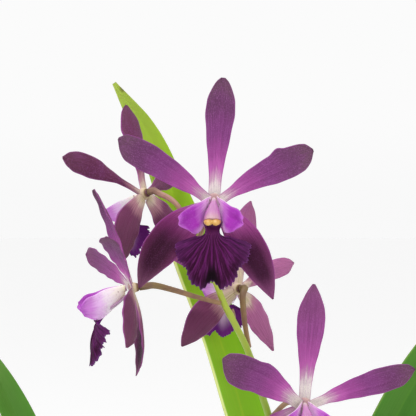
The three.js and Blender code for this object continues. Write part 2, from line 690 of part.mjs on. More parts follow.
BLOOMS.forEach((bloom, index) => {
  const axes = axesOf(...bloom.facing.map(rad));
  const look = axes[2];
  const at = vec(...bloom.at);
  const size = bloom.lip[3];
  const lipAxes = axesOf(...bloom.facing.map((angle, i) => rad(angle + bloom.lip[i])))
    .map((axis) => axis.multiplyScalar(size));
  const lipAt = at.clone().add(inAxes(axes, LIP_PIVOT)).sub(inAxes(lipAxes, LIP_PIVOT));
  const move = (solid, [right, up, ahead], origin) => solid.transform([
    right.x, right.y, right.z, 0,
    up.x, up.y, up.z, 0,
    ahead.x, ahead.y, ahead.z, 0,
    origin.x, origin.y, origin.z, 1,
  ]);
  const tepals = SHAPES.map(([key, width, profile, cup]) => (
    tepal(bloom[key], width * bloom[key][7], bloom.outlines?.[key] ?? profile, cup)
  ));
  const k = index + 1;
  const lip = join([fan(), sideLobe(false), sideLobe(true)]);
  addNode(`tepals_${k}`, move(join([hub(), ...tepals]), axes, at), 0x6a2c58, 0.6);
  addNode(`lip_${k}`, move(lip, lipAxes, lipAt), 0x5a1a78, 0.55);
  addNode(`column_${k}`, move(column(), lipAxes, lipAt), 0xd9a8d8, 0.5);
  addNode(`anther_cap_${k}`, move(antherCap(), lipAxes, lipAt), 0xe6b84a, 0.5);
  const via = bloom.pedicel.map((p) => vec(...p));
  const heel = vec(...bloom.at).addScaledVector(look, HUB_BACK - GAP - 0.25);
  const neck = heel.clone().addScaledVector(look, -2.5);
  let low = 0;
  while (stemLine[low + 1].z < bloom.foot) low++;
  const part = (bloom.foot - stemLine[low].z) / (stemLine[low + 1].z - stemLine[low].z);
  const foot = stemLine[low].clone().lerp(stemLine[low + 1], part);
  const along = stemLine[low + 1].clone().sub(stemLine[low]).normalize();
  const reach = via[via.length - 1].clone().sub(foot).normalize();
  const slant = Math.abs(reach.dot(along));
  reach.addScaledVector(along, -reach.dot(along)).normalize();
  foot.addScaledVector(reach, stemRadius(low / 22) + GAP + 0.2 + PEDICEL_RADIUS * slant);
  const line = smooth([heel, neck, ...via, foot], 8);
  const thick = (t) => PEDICEL_RADIUS * curveThrough([[0, 1.25], [0.35, 1.02], [1, 0.78]], t);
  addNode(`pedicel_${k}`, tube(line, thick, 6), 0x9a7a5c, 0.65);
});

export default model;
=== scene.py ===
import bpy
import numpy as np
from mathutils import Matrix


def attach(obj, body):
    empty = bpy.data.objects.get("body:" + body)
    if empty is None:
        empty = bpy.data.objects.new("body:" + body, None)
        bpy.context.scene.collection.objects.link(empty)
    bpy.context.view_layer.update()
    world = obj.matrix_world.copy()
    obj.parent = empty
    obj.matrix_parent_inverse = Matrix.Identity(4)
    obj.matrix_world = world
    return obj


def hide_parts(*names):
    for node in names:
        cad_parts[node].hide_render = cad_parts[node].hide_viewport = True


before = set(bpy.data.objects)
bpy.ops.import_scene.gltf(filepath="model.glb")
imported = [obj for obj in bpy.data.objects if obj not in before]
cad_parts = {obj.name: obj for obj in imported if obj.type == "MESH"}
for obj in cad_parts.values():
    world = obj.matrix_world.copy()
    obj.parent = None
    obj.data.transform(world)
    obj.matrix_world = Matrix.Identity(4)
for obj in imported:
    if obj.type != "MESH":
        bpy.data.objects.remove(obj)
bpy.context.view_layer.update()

# Surroundings: a wide pale floor, an even white sky and two soft lamps from the front.
# The camera stands level with the main bloom, a long lens looking along plus Y.
FLOOR_REACH, FLOOR_SIDES = 24.0, 96
LENS_HOME = (-0.022, -0.830, 0.392)
LENS_PIXELS, VIEW_PIXELS, SENSOR_WIDTH = 1904.8, 416.0, 36.0
LAMPS = dict(key_lamp=((-0.45, -0.85, 1.75), 20.0), fill_lamp=((1.0, -1.5, 0.9), 6.0))
LAMP_SIZE, LAMP_AIM = 0.8, (-0.02, -0.02, 0.33)
STUDIO_GAIN = 0.72


def paint(red, green, blue):
    """A colour as it should look on screen, 0 to 255, turned to the linear values that the nodes
    take and darkened a little, because the white sky and the lamps together light it by more."""
    c = np.array([red, green, blue]) / 255.0
    lin = np.where(c <= 0.04045, c / 12.92, ((c + 0.055) / 1.055) ** 2.4) * STUDIO_GAIN
    return (*lin.tolist(), 1.0)


class Nodes:
    """A node tree and short ways to add to it. A value may be a constant or another node's output,
    and a colour is three screen values for paint, or four linear ones."""

    def __init__(self, owner):
        owner.use_nodes = True
        self.owner, self.tree = owner, owner.node_tree

    def feed(self, socket, value):
        """Set a socket, or link it where the value is an output."""
        if isinstance(value, bpy.types.NodeSocket):
            self.tree.links.new(value, socket)
        elif socket.type == "RGBA" and len(value) == 3:
            socket.default_value = paint(*value)
        else:
            socket.default_value = value

    def put(self, kind, sockets, out=0, **settings):
        """Add a node with {socket name or number: value} and give back one of its outputs."""
        node = self.tree.nodes.new("ShaderNode" + kind)
        for key, value in settings.items():
            setattr(node, key, value)
        for key, value in sockets.items():
            self.feed(node.inputs[key], value)
        return node.outputs[out]

    def sums(self, operation, a, b=0.0, clamp=False):
        """One math node on two values."""
        return self.put("Math", {0: a, 1: b}, operation=operation, use_clamp=clamp)

    def times(self, a, b):
        """The product of two values."""
        return self.sums("MULTIPLY", a, b)

    def window(self, value, low, high, out_low=0.0, out_high=1.0):
        """Map a value smoothly from low..high to out_low..out_high, held level outside."""
        return self.put("MapRange", {"Value": value, "From Min": low, "From Max": high, "To Min": out_low,
                                     "To Max": out_high}, interpolation_type="SMOOTHSTEP")

    def ramp(self, value, *stops):
        """A colour ramp eased between its stops, each a place and a colour."""
        colour = self.put("ValToRGB", {0: value})
        ramp = colour.node.color_ramp
        ramp.interpolation = "EASE"
        while len(ramp.elements) < len(stops):
            ramp.elements.new(0.5)
        for element, (place, *shade) in zip(ramp.elements, stops):
            element.position = place
            element.color = paint(*shade) if len(shade) == 3 else shade
        return colour

    def coat(self, colour, *coats):
        """Lay further colours over a first one, each given as (share, colour)."""
        for share, over in coats:
            colour = self.put("Mix", {0: share, 6: colour, 7: over}, 2, data_type="RGBA")
        return colour

    def noise(self, at, scale, detail, **more):
        """Noise at the given place, its scale a number or a stretch along three axes."""
        if not isinstance(scale, float):
            at, scale = self.put("Mapping", {"Vector": at, "Scale": scale}), 1.0
        return self.put("TexNoise", {"Vector": at, "Scale": scale, "Detail": detail, **more})

    def bump(self, height, strength, distance, **more):
        """Fine relief from a height, on top of another relief where Normal is given."""
        return self.put("Bump", {"Height": height, "Strength": strength, "Distance": distance, **more})


class Finish(Nodes):
    """A procedural material. It reads its place on the object, and the three numbers that each
    point carries: across, along, and a mark that tells sides or tones apart."""

    def __init__(self, name):
        super().__init__(bpy.data.materials.new(name))
        self.place = self.put("TexCoord", {}, "Object")
        self.lay = self.put("Attribute", {}, "Vector", attribute_name="lay")
        self.across, self.along, self.mark = self.put("SeparateXYZ", {0: self.lay}).node.outputs

    def dress(self, colour, roughness, relief=None, shine=None, depth=None):
        """Lead colour and relief to the shader, and set its own sockets. Depth is the share of light
        that goes under the skin, then how far each of its colours spreads there."""
        sockets = {"Base Color": colour, "Roughness": roughness}
        if relief is not None:
            sockets["Normal"] = relief
        if shine is not None:
            sockets["Specular IOR Level"] = shine
        if depth is not None:
            sockets.update({"Subsurface Weight": depth[0], "Subsurface Radius": depth[1:],
                            "Subsurface Scale": 1.0})
        for key, value in sockets.items():
            self.feed(self.tree.nodes["Principled BSDF"].inputs[key], value)


def set_down(name, data):
    """A new object in the scene."""
    item = bpy.data.objects.new(name, data)
    bpy.context.scene.collection.objects.link(item)
    return item


floor_mesh = bpy.data.meshes.new("floor")
turn = np.linspace(0, 2 * np.pi, FLOOR_SIDES, endpoint=False)
floor_rim = np.stack([FLOOR_REACH * np.cos(turn), FLOOR_REACH * np.sin(turn), 0 * turn], -1)
floor_mesh.from_pydata(floor_rim.tolist(), [], [list(range(FLOOR_SIDES))])
white = Finish("floor_white")
white.dress(white.coat((0.895, 0.895, 0.895, 1), (white.noise(white.place, 3.0, 2.0), (0.905, 0.905, 0.905, 1))),
            0.9, shine=0.0)
white.tree.nodes["Principled BSDF"].inputs["Emission Color"].default_value = (1.0, 1.0, 1.0, 1.0)
white.tree.nodes["Principled BSDF"].inputs["Emission Strength"].default_value = 0.214
floor_mesh.materials.append(white.owner)
set_down("floor", floor_mesh)

sky = Nodes(bpy.data.worlds.new("sky"))
sky_way = sky.put("SeparateXYZ", {0: sky.put("TexCoord", {}, "Generated")}).node.outputs
sky_front = sky.coat((0.3, 0.3, 0.3, 1), (sky.window(sky_way[1], -0.85, 0.15), (1.0, 1.0, 1.0, 1)))
sky_seen = sky.coat((0.945, 0.945, 0.945, 1), (sky.window(sky_way[2], 0.0, 0.05), (0.965, 0.965, 0.965, 1)))
sky_direct = sky.put("LightPath", {}, "Is Camera Ray")
sky.feed(sky.tree.nodes["Background"].inputs[0], sky.coat(sky_front, (sky_direct, sky_seen)))
bpy.context.scene.world = sky.owner
for lamp_name, (lamp_at, lamp_watts) in LAMPS.items():
    lamp = set_down(lamp_name, bpy.data.lights.new(lamp_name, "AREA"))
    lamp.data.size, lamp.data.energy = LAMP_SIZE, lamp_watts
    lamp.location = lamp_at
    aim = np.array(LAMP_AIM) - np.array(lamp_at)
    lamp.rotation_euler = (np.arctan2(np.hypot(aim[0], aim[1]), -aim[2]), 0, np.arctan2(-aim[0], aim[1]))

lens = bpy.data.cameras.new("camera")
lens.sensor_width = SENSOR_WIDTH
lens.lens = SENSOR_WIDTH * LENS_PIXELS / VIEW_PIXELS
lens.clip_start, lens.clip_end = 0.01, 60.0
camera = set_down("camera", lens)
camera.location = LENS_HOME
camera.rotation_euler = (np.pi / 2, 0, 0)
bpy.context.scene.camera = camera
bpy.context.scene.view_settings.view_transform = "Standard"
bpy.context.scene.view_settings.look = "None"


# Pot: thrown clay, fired and unglazed, with a plain thick band for its rim. The wall and
# floor are one solid of revolution, and four drain holes go through the floor.
POT_HEIGHT, POT_SIDES = 105.0, 192
POT_FOOT, POT_SHOULDER, POT_RIM = 42.5, 59.0, 63.5
BAND_FOOT, BAND_THICKNESS, BAND_STEP = 81.0, 5.0, 6
POT_FLOOR, WELL_FOOT, WELL_RIM, WELL_RUN = 6.0, 38.5, 57.9, 97.0
EDGE_ROUND = 1.6
DRAIN_RING, DRAIN_RADIUS, DRAIN_LOW, DRAIN_HIGH = 25, 5, -3, 9


def pot_inside(z):
    """Inner radius of the pot: it widens in a straight line from the floor to the rim."""
    return WELL_FOOT + (WELL_RIM - WELL_FOOT) * (z - POT_FLOOR) / WELL_RUN


def rounded(profile, radius, count=5):
    """A profile with each corner replaced by a short arc, a quadratic curve held by the corner."""
    profile = np.asarray(profile, float)
    corner = profile[1:-1]
    back = profile[:-2] - corner
    ahead = profile[2:] - corner
    back_len = np.linalg.norm(back, axis=1, keepdims=True)
    ahead_len = np.linalg.norm(ahead, axis=1, keepdims=True)
    start = corner + back / back_len * np.minimum(radius, back_len * 0.45)
    end = corner + ahead / ahead_len * np.minimum(radius, ahead_len * 0.45)
    s = np.linspace(0, 1, count)[None, :, None]
    arc = (1 - s) ** 2 * start[:, None] + 2 * s * (1 - s) * corner[:, None] + s * s * end[:, None]
    return np.concatenate([profile[:1], arc.reshape(-1, 2), profile[-1:]])


def finely(profile, step):
    """A profile with its long runs cut into pieces no longer than the step."""
    out = [profile[:1]]
    for a, b in zip(profile[:-1], profile[1:]):
        n = max(1, int(np.ceil(np.linalg.norm(b - a) / step)))
        out.append(a + (b - a) * (np.arange(1, n + 1) / n)[:, None])
    return np.concatenate(out)


def facing_out(points, faces):
    """Turn all faces over if the signed volume that they hold is negative: for each triangle of a
    face's fan, its first corner dotted with the cross product of the other two."""
    volume = 0.0
    for b, c in ((1, 2), (2, 3)):
        fan = [(f[0], f[b], f[c]) for f in faces if b == 1 or len(f) == 4]
        if fan:
            corners = points[np.array(fan)]
            volume += np.einsum("ij,ij->i", corners[:, 0], np.cross(corners[:, 1], corners[:, 2])).sum()
    return [f[::-1] for f in faces] if volume < 0 else faces


def make_piece(name, forms, finishes, stands_for=(), smooth=True):
    """Join forms, each (points in mm, faces, lay, finish number), into one piece on the root body.
    lay holds three numbers for each point that the finish reads: across, along and mark."""
    points, faces, lays, finish_of = [], [], [], []
    start = 0
    for form_points, form_faces, lay, number in forms:
        faces += [[start + v for v in f] for f in facing_out(form_points, form_faces)]
        finish_of += [number] * len(form_faces)
        points.append(form_points)
        lays.append(lay)
        start += len(form_points)
    mesh = bpy.data.meshes.new(name)
    mesh.from_pydata((np.concatenate(points) / 1000.0).tolist(), [], faces)
    for finish in finishes:
        mesh.materials.append(finish.owner)
    mesh.polygons.foreach_set("material_index", np.array(finish_of, np.int32))
    mesh.polygons.foreach_set("use_smooth", np.full(len(faces), smooth))
    lay_data = mesh.attributes.new("lay", "FLOAT_VECTOR", "POINT")
    lay_data.data.foreach_set("vector", np.concatenate(lays).astype(np.float32).ravel())
    mesh.update()
    piece = set_down(name, mesh)
    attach(piece, "root")
    if stands_for:
        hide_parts(*stands_for)
    return piece


def tube_faces(rows, sides):
    """Faces of a tube of rings, closed at its foot and head by fans round the last two points."""
    ids = np.arange(rows * sides).reshape(rows, sides)
    beside = np.roll(ids, -1, 1)
    quads = np.stack([ids[:-1], beside[:-1], beside[1:], ids[1:]], -1).reshape(-1, 4)
    foot = np.stack([np.full(sides, ids.size), beside[0], ids[0]], -1)
    head = np.stack([np.full(sides, ids.size + 1), ids[-1], beside[-1]], -1)
    return quads.tolist() + foot.tolist() + head.tolist()


def turned_form(profile, sides):
    """A solid of revolution: the profile (radius, height) carried round Z, closed on the axis."""
    profile = np.asarray(profile, float)
    radius, height = profile[1:-1, :1], profile[1:-1, 1:]
    a = np.linspace(0, 2 * np.pi, sides, endpoint=False)
    rings = np.stack(np.broadcast_arrays(radius * np.cos(a), radius * np.sin(a), height), -1)
    points = np.concatenate([rings.reshape(-1, 3), [[0, 0, profile[0, 1]], [0, 0, profile[-1, 1]]]])
    return points, tube_faces(len(radius), sides), np.zeros((len(points), 3)), 0


pot_profile = rounded([
    (0, 0), (POT_FOOT, 0), (POT_SHOULDER, BAND_FOOT), (POT_RIM, BAND_FOOT), (POT_RIM, POT_HEIGHT),
    (POT_RIM - BAND_THICKNESS, POT_HEIGHT), (pot_inside(POT_HEIGHT - BAND_STEP), POT_HEIGHT - BAND_STEP),
    (pot_inside(POT_FLOOR), POT_FLOOR), (0, POT_FLOOR)], EDGE_ROUND)
pot_form = turned_form(finely(pot_profile, 3.0), POT_SIDES)
x, y, z = pot_form[0].T
pot_radius = np.hypot(x, y)
throwing = 0.12 * np.sin(z * 1.9 + 0.4 * np.sin(3 * np.arctan2(y, x))) * (z > 3)
pot_form[0][:, :2] *= (1 + throwing * (pot_radius > 30) * (z < 80) / np.maximum(pot_radius, 1))[:, None]

clay = Finish("fired_clay")
clay_speck = clay.noise(clay.place, 900.0, 3.0)
clay_bloom = clay.noise(clay.place, 48.0, 8.0, Roughness=0.7)
clay_height = clay.put("SeparateXYZ", {0: clay.place}, 2)
near_foot = clay.window(clay_height, 0.004, 0.045, 0.55, 0.0)
near_rim = clay.window(clay_height, 0.096, 0.106, 0.0, 0.35)
salt = clay.sums("MULTIPLY", clay.sums("ADD", near_foot, near_rim), clay.window(clay_bloom, 0.45, 0.66), True)
clay_body = clay.ramp(clay.noise(clay.place, 22.0, 6.0, Roughness=0.6),
                      (0.3, 168, 98, 68), (0.5, 188, 114, 82), (0.7, 204, 134, 102))
clay.dress(
    clay.coat(clay_body, (clay.window(clay_speck, 0.35, 0.7, 0.0, 0.35), (140, 78, 54)), (salt, (222, 196, 176))),
    0.88, clay.bump(clay_bloom, 0.25, 0.0008, Normal=clay.bump(clay_speck, 0.35, 0.0004)), 0.25)

pot = make_piece("clay_pot", [pot_form], [clay], ["pot"])
drill_mesh = bpy.data.meshes.new("drain_drill")
drill_points, drill_faces = [], []
for drain in range(4):
    centre = np.pi / 4 + drain * np.pi / 2
    drain_points, drain_faces, _, _ = turned_form(
        [(0, DRAIN_LOW), (DRAIN_RADIUS, DRAIN_LOW), (DRAIN_RADIUS, DRAIN_HIGH), (0, DRAIN_HIGH)], 40)
    shifted = drain_points + np.array([DRAIN_RING * np.cos(centre), DRAIN_RING * np.sin(centre), 0])
    drill_faces += [[len(drill_points) + v for v in f] for f in facing_out(drain_points, drain_faces)]
    drill_points += (shifted / 1000).tolist()
drill_mesh.from_pydata(drill_points, [], drill_faces)
drill = set_down("drain_drill", drill_mesh)
cut = pot.modifiers.new("drain_holes", "BOOLEAN")
cut.operation, cut.solver, cut.object = "DIFFERENCE", "EXACT", drill
drilled = bpy.data.meshes.new_from_object(pot.evaluated_get(bpy.context.evaluated_depsgraph_get()))
pot.modifiers.clear()
pot.data = drilled
bpy.data.objects.remove(drill)


# Bark: chips of fir bark packed in the pot. A dark core fills the pot up to the level of the
# chips, and loose angular chips lie over it and round the plant's foot, inside the rim.
BARK_LEVEL, BARK_GAP, CORE_LIFT = 91.0, 0.5, 0.3
CHIP_COUNT, CHIP_LAYER, CHIP_SEED, CHIP_RING = 330, 165, 11, 48.5
CHIP_SIZES = [(5.0, 9.5), (3.2, 5.8), (1.6, 3.4)]
CHIP_LEVELS = [(-0.92, 0.72), (-0.45, 1.0), (0.45, 1.0), (0.92, 0.7)]
GOLDEN_TURN = 2.39996
CHIP_CEILING = 100.5


def core_edge(z):
    """Radius of the bark: just inside the pot's wall."""
    return pot_inside(z) - BARK_GAP


core_low = POT_FLOOR + CORE_LIFT
core_form = turned_form(finely(rounded([
    (0, core_low), (core_edge(POT_FLOOR) - 2.0, core_low), (core_edge(10), 10),
    (core_edge(BARK_LEVEL), BARK_LEVEL), (0, BARK_LEVEL + 1.2)], 1.0), 4.0), 96)
x, y, z = core_form[0].T
core_top = z > BARK_LEVEL - 0.5
core_form[0][core_top, 2] += (0.9 * np.sin(x * 0.61 + 1.3) * np.sin(y * 0.73)
                              + 0.5 * np.sin(x * 1.7) * np.sin(y * 1.9 + 2))[core_top]
core_form[2][:] = 0.05

chips = np.random.default_rng(CHIP_SEED)
around = np.linspace(0, 2 * np.pi, 8, endpoint=False)
levels, girth = np.array(CHIP_LEVELS).T[..., None]
square = (np.abs(np.cos(around)) ** 5 + np.abs(np.sin(around)) ** 5) ** -0.2
chip_shell = np.stack(np.broadcast_arrays(
    girth * (np.cos(around) * square), girth * (np.sin(around) * square), levels), -1).reshape(-1, 3)
chip_faces = tube_faces(4, 8)[:24] + [list(range(7, -1, -1)), list(range(24, 32))]
chip_ids = np.arange(CHIP_COUNT)
chip_size = np.stack([chips.uniform(low, high, CHIP_COUNT) for low, high in CHIP_SIZES], -1)
chip_ring = CHIP_RING * np.sqrt((chip_ids % CHIP_LAYER + 0.5) / CHIP_LAYER)
chip_turn = chip_ids * GOLDEN_TURN + chips.uniform(-0.3, 0.3, CHIP_COUNT)
chip_at = np.stack([chip_ring * np.cos(chip_turn), chip_ring * np.sin(chip_turn),
                    BARK_LEVEL + 0.6 + 2.6 * (chip_ids >= CHIP_LAYER) + chips.uniform(0, 1.6, CHIP_COUNT)], -1)
chip_shape = chip_shell[None] * chip_size[:, None]
chip_shape *= 1 + chips.uniform(-0.22, 0.16, (CHIP_COUNT, 32, 1))
tip_x, tip_y = chips.uniform(-0.42, 0.42, (2, CHIP_COUNT))
spin = chips.uniform(0, 2 * np.pi, CHIP_COUNT)
cx, sx, cy, sy, cz, sz = np.cos(tip_x), np.sin(tip_x), np.cos(tip_y), np.sin(tip_y), np.cos(spin), np.sin(spin)
chip_turns = np.stack([
    np.stack([cz * cy, cz * sy * sx - sz * cx, cz * sy * cx + sz * sx], -1),
    np.stack([sz * cy, sz * sy * sx + cz * cx, sz * sy * cx - cz * sx], -1),
    np.stack([-sy, cy * sx, cy * cx], -1)], 1)
chip_points = np.einsum("kij,kpj->kpi", chip_turns, chip_shape) + chip_at[:, None]
chip_reach = np.hypot(chip_points[..., 0], chip_points[..., 1])
chip_points[..., :2] *= np.minimum(1, core_edge(BARK_LEVEL + 2) / np.maximum(chip_reach, 1))[..., None]
chip_points[..., 2] = np.minimum(chip_points[..., 2], CHIP_CEILING + 0.12 * (chip_points[..., 2] - CHIP_CEILING))
chip_tone = chips.uniform(0.12, 1.0, CHIP_COUNT)
chip_forms = [(points, chip_faces, np.full((32, 3), tone), 0) for points, tone in zip(chip_points, chip_tone)]

bark = Finish("fir_bark")
bark_flow = bark.noise(bark.place, 260.0, 7.0, Roughness=0.65, Distortion=0.6)
bark_body = bark.ramp(bark.mark, (0.0, 40, 27, 20), (0.2, 84, 56, 40), (0.55, 122, 82, 56), (0.85, 156, 108, 74),
                      (1.0, 176, 134, 100))
bark.dress(
    bark.coat(bark_body, (bark.window(bark_flow, 0.38, 0.62, 0.75, 0.0), (48, 31, 23)),
              (bark.window(bark.noise(bark.place, 70.0, 3.0), 0.5, 0.72, 0.0, 0.4), (182, 140, 104))),
    0.92, bark.bump(bark_flow, 0.8, 0.0012), 0.2)
make_piece("bark_chips", [core_form, *chip_forms], [bark], ["bark"], smooth=False)


# Rhizome: a woody creeping stem with a ring at every joint, lying on the bark. Pale roots
# with a silvery skin leave it, run over the chips and dive into them.
RHIZOME_LEVEL, RHIZOME_ROWS, ROOT_ROWS = 96.0, 150, 70
RHIZOME_PATH = [(37, 7), (22, 2), (10, 4), (-2, 3), (-13, 1), (-24, -1), (-34, 2), (-43, 5), (-52, 8)]
ROOT_PATHS = [
    [(30, 4, 96), (36, -10, 97.5), (34, -26, 98), (24, -38, 90)],
    [(8, 4, 96), (6, -12, 98), (-4, -26, 98), (-8, -40, 89)],
    [(-13, 1, 96), (-20, 16, 98), (-18, 30, 97.5), (-26, 42, 89)],
    [(10, 4, 96), (16, 18, 98), (26, 30, 97.5), (28, 42, 89)],
    [(-34, 2, 96), (-38, -12, 97.5), (-34, -26, 98), (-24, -38, 89)],
]


def run_through(points, count):
    """Evenly spaced places on a smooth curve through the points: a Catmull-Rom curve whose
    knots are spaced by the square root of the distance between points."""
    p = np.asarray(points, float)
    p = np.concatenate([[2 * p[0] - p[1]], p, [2 * p[-1] - p[-2]]])
    gap = np.linalg.norm(np.diff(p, axis=0), axis=1) ** 0.5
    fine = []
    s = np.linspace(0, 1, 60)[:, None]
    for k in range(1, len(p) - 2):
        a, b, c = gap[k - 1], gap[k], gap[k + 1]
        m1 = ((p[k] - p[k - 1]) / a - (p[k + 1] - p[k - 1]) / (a + b) + (p[k + 1] - p[k]) / b) * b
        m2 = ((p[k + 1] - p[k]) / b - (p[k + 2] - p[k]) / (b + c) + (p[k + 2] - p[k + 1]) / c) * b
        fine.append((p[k] + m1 * s + (3 * (p[k + 1] - p[k]) - 2 * m1 - m2) * s ** 2
                     + (2 * (p[k] - p[k + 1]) + m1 + m2) * s ** 3)[: None if k == len(p) - 3 else -1])
    fine = np.concatenate(fine)
    reach = np.concatenate([[0], np.cumsum(np.linalg.norm(np.diff(fine, axis=0), axis=1))])
    at = np.linspace(0, reach[-1], count)
    return np.stack([np.interp(at, reach, fine[:, k]) for k in range(3)], -1)


def unit(vectors):
    """Vectors scaled to length one."""
    return vectors / np.maximum(np.linalg.norm(vectors, axis=-1, keepdims=True), 1e-9)


def rod_form(line, wide, high=None, sides=16, across=(0.3, 1.0, 0.2), tone=0.0, tip=0.35):
    """A rod along a line of places: rings square to the line with the given half widths, and
    round ends. The ring's first axis keeps the turn of the given across direction."""
    high = wide if high is None else high
    ahead = unit(np.gradient(line, axis=0))
    side = np.empty_like(line)
    held = np.asarray(across, float)
    for k in range(len(line)):
        held = held - ahead[k] * held.dot(ahead[k])
        held = held / np.linalg.norm(held)
        side[k] = held
    up = np.cross(ahead, side)
    a = np.linspace(0, 2 * np.pi, sides, endpoint=False)
    rings = (line[:, None] + (wide[:, None] * np.cos(a))[..., None] * side[:, None]
             + (high[:, None] * np.sin(a))[..., None] * up[:, None])
    foot, head = (ahead[k] * wide[k] * tip for k in (0, -1))
    first = [line[0] - foot * k + (rings[0] - line[0]) * s for k, s in ((0.9, 0.5), (0.6, 0.85))]
    last = [line[-1] + head * k + (rings[-1] - line[-1]) * s for k, s in ((0.6, 0.85), (0.9, 0.5))]
    rings = np.concatenate([first, rings, last])
    points = np.concatenate([rings.reshape(-1, 3), [line[0] - foot], [line[-1] + head]])
    lay = np.full((len(points), 3), float(tone))
    lay[:-2, 0] = np.tile(np.cos(a), len(rings))
    lay[:-2, 1] = np.repeat(np.concatenate([[0, 0], np.linspace(0, 1, len(line)), [1, 1]]), sides)
    lay[-2:, :2] = (0, 0), (0, 1)
    return points, tube_faces(len(rings), sides), lay, 0


rhizome_line = run_through([(x, y, RHIZOME_LEVEL) for x, y in RHIZOME_PATH], RHIZOME_ROWS)
t = np.linspace(0, 1, RHIZOME_ROWS)
rhizome_wide = (3.85 + 0.32 * np.cos(t * 2 * np.pi * 8) + 0.22 * (np.cos(t * 2 * np.pi * 24) > 0.8)
                ) * np.minimum(1, 0.7 + 6 * np.minimum(t, 1 - t))
root_forms = [rod_form(rhizome_line, rhizome_wide, sides=28)]
t = np.linspace(0, 1, ROOT_ROWS)
for k, root in enumerate(ROOT_PATHS):
    root_line = run_through(root, ROOT_ROWS)
    root_line[:, 0] += 0.5 * np.sin(t * 17 + k) * t
    root_line[:, 1] += 0.5 * np.cos(t * 13 + 2 * k) * t
    root_forms.append(rod_form(root_line, 1.75 - 0.6 * t + 0.08 * np.sin(t * 40 + k), sides=14, tone=1.0))

skin = Finish("rhizome_and_root_skin")
skin_cloud = skin.noise(skin.place, 160.0, 6.0, Roughness=0.6)
woody = skin.ramp(skin_cloud, (0.3, 92, 70, 42), (0.5, 138, 116, 72), (0.68, 176, 158, 112))
silvery = skin.ramp(skin_cloud, (0.3, 168, 168, 142), (0.5, 205, 204, 188), (0.7, 226, 225, 214))
rooty = skin.coat(silvery, (skin.window(skin.along, 0.8, 1.0, 0.0, 0.6), (150, 170, 96)))
skin.dress(skin.coat(woody, (skin.mark, rooty)), 0.75, skin.bump(skin_cloud, 0.5, 0.0006))
make_piece("rhizome_with_roots", root_forms, [skin], ["rhizome"])


# Pseudobulbs: the swollen green stems that stand on the rhizome, faintly ribbed. The lower
# part of each is wrapped in a thin, dry, torn sheath that grew with it.
BULBS = [
    dict(foot=(22, 2), top=(21, 4, 172), girth=1.0),
    dict(foot=(-2, 3), top=(-5, 10, 163), girth=0.98),
    dict(foot=(-24, -1), top=(-30, -3, 156), girth=0.92),
    dict(foot=(-43, 5), top=(-55, 8, 150), girth=0.84),
]
BULB_FOOT_LEVEL, BULB_RADIUS = 99.9, 11.2
BULB_PROFILE = [(0, 0.4), (0.1, 0.62), (0.3, 0.94), (0.48, 1), (0.7, 0.84), (0.88, 0.6), (1, 0.56)]
BULB_SIDES, BULB_ROWS = 96, 56
SHEATH_GAP, SHEATH_THICKNESS, SHEATH_WRAP = 0.35, 0.25, 0.93
SHEATH_ROWS, SHEATH_COLS = 26, 90


def width_at(stations, t):
    """A smooth curve through (place, value) stations that never overshoots them: cubic pieces
    whose slope at a station is the harmonic mean of the slopes beside it."""
    x, y = np.array(stations, float).T
    h = np.diff(x)
    slope = np.diff(y) / h
    m = np.concatenate([slope[:1], np.zeros(len(y) - 2), slope[-1:]])
    product = slope[:-1] * slope[1:]
    total = np.where(product > 0, slope[:-1] + slope[1:], 1)
    m[1:-1] = np.where(product > 0, 2 * product / total, 0)
    k = np.clip(np.searchsorted(x, t, side="right") - 1, 0, len(h) - 1)
    s = (t - x[k]) / h[k]
    return ((1 + 2 * s) * (1 - s) ** 2 * y[k] + s * (1 - s) ** 2 * h[k] * m[k]
            + s * s * (3 - 2 * s) * y[k + 1] + s * s * (s - 1) * h[k] * m[k + 1])


def bulb_rings(bulb, t, a, grow):
    """The skin of a pseudobulb at heights t and bearings a: a spindle with six soft ribs and
    fine wrinkles, its axis leaning more towards the top."""
    t, a = np.broadcast_arrays(t, a)
    rib = 1 + (0.035 * np.cos(6 * a) + 0.008 * np.sin(17 * a + 5 * t)) * np.sin(np.pi * t)
    r = BULB_RADIUS * bulb["girth"] * width_at(BULB_PROFILE, t) * rib + grow
    lean = t * t
    (x0, y0), (x1, y1, z1) = bulb["foot"], bulb["top"]
    return np.stack([x0 + (x1 - x0) * lean + r * np.cos(a), y0 + (y1 - y0) * lean + r * np.sin(a),
                     BULB_FOOT_LEVEL + (z1 - BULB_FOOT_LEVEL) * t], -1)


def sheet_form(front, back, across, along, marks=(0.0, 1.0), number=0):
    """A closed thin form between two grids: the front, the back turned over, a wall at the rim."""
    rows, cols = front.shape[:2]
    n = rows * cols
    grid = np.arange(n).reshape(rows, cols)
    face_ids = np.stack([grid[:-1, :-1], grid[1:, :-1], grid[1:, 1:], grid[:-1, 1:]], -1).reshape(-1, 4)
    rim = np.concatenate([grid[0, :-1], grid[:-1, -1], grid[-1, :0:-1], grid[:0:-1, 0]])
    rim_next = np.roll(rim, -1)
    wall_ids = np.stack([rim, rim_next, rim_next + n, rim + n], -1)
    points = np.concatenate([front.reshape(-1, 3), back.reshape(-1, 3)])
    lay = np.concatenate([np.stack(np.broadcast_arrays(across, along, mark), -1).reshape(-1, 3)
                          for mark in marks])
    return points, np.concatenate([face_ids, (face_ids + n)[:, ::-1], wall_ids]).tolist(), lay, number


green = Finish("pseudobulb_skin")
green_fine = green.noise(green.place, 420.0, 4.0)
green_body = green.ramp(green.along, (0.0, 126, 112, 62), (0.2, 132, 146, 66), (0.6, 138, 160, 66),
                        (1.0, 150, 170, 80))
green.dress(green.coat(
    green_body, (green.window(green.noise(green.place, 55.0, 5.0), 0.48, 0.68, 0.0, 0.65), (168, 160, 82)),
    # Painted shade: darker green in the grooves between the six ribs.
    (green.window(green.across, -0.2, -1.0, 0.0, 0.35), (86, 108, 44)),
    (green.window(green_fine, 0.6, 0.75, 0.0, 0.35), (120, 96, 58))), 0.48, green.bump(green_fine, 0.18, 0.0005))

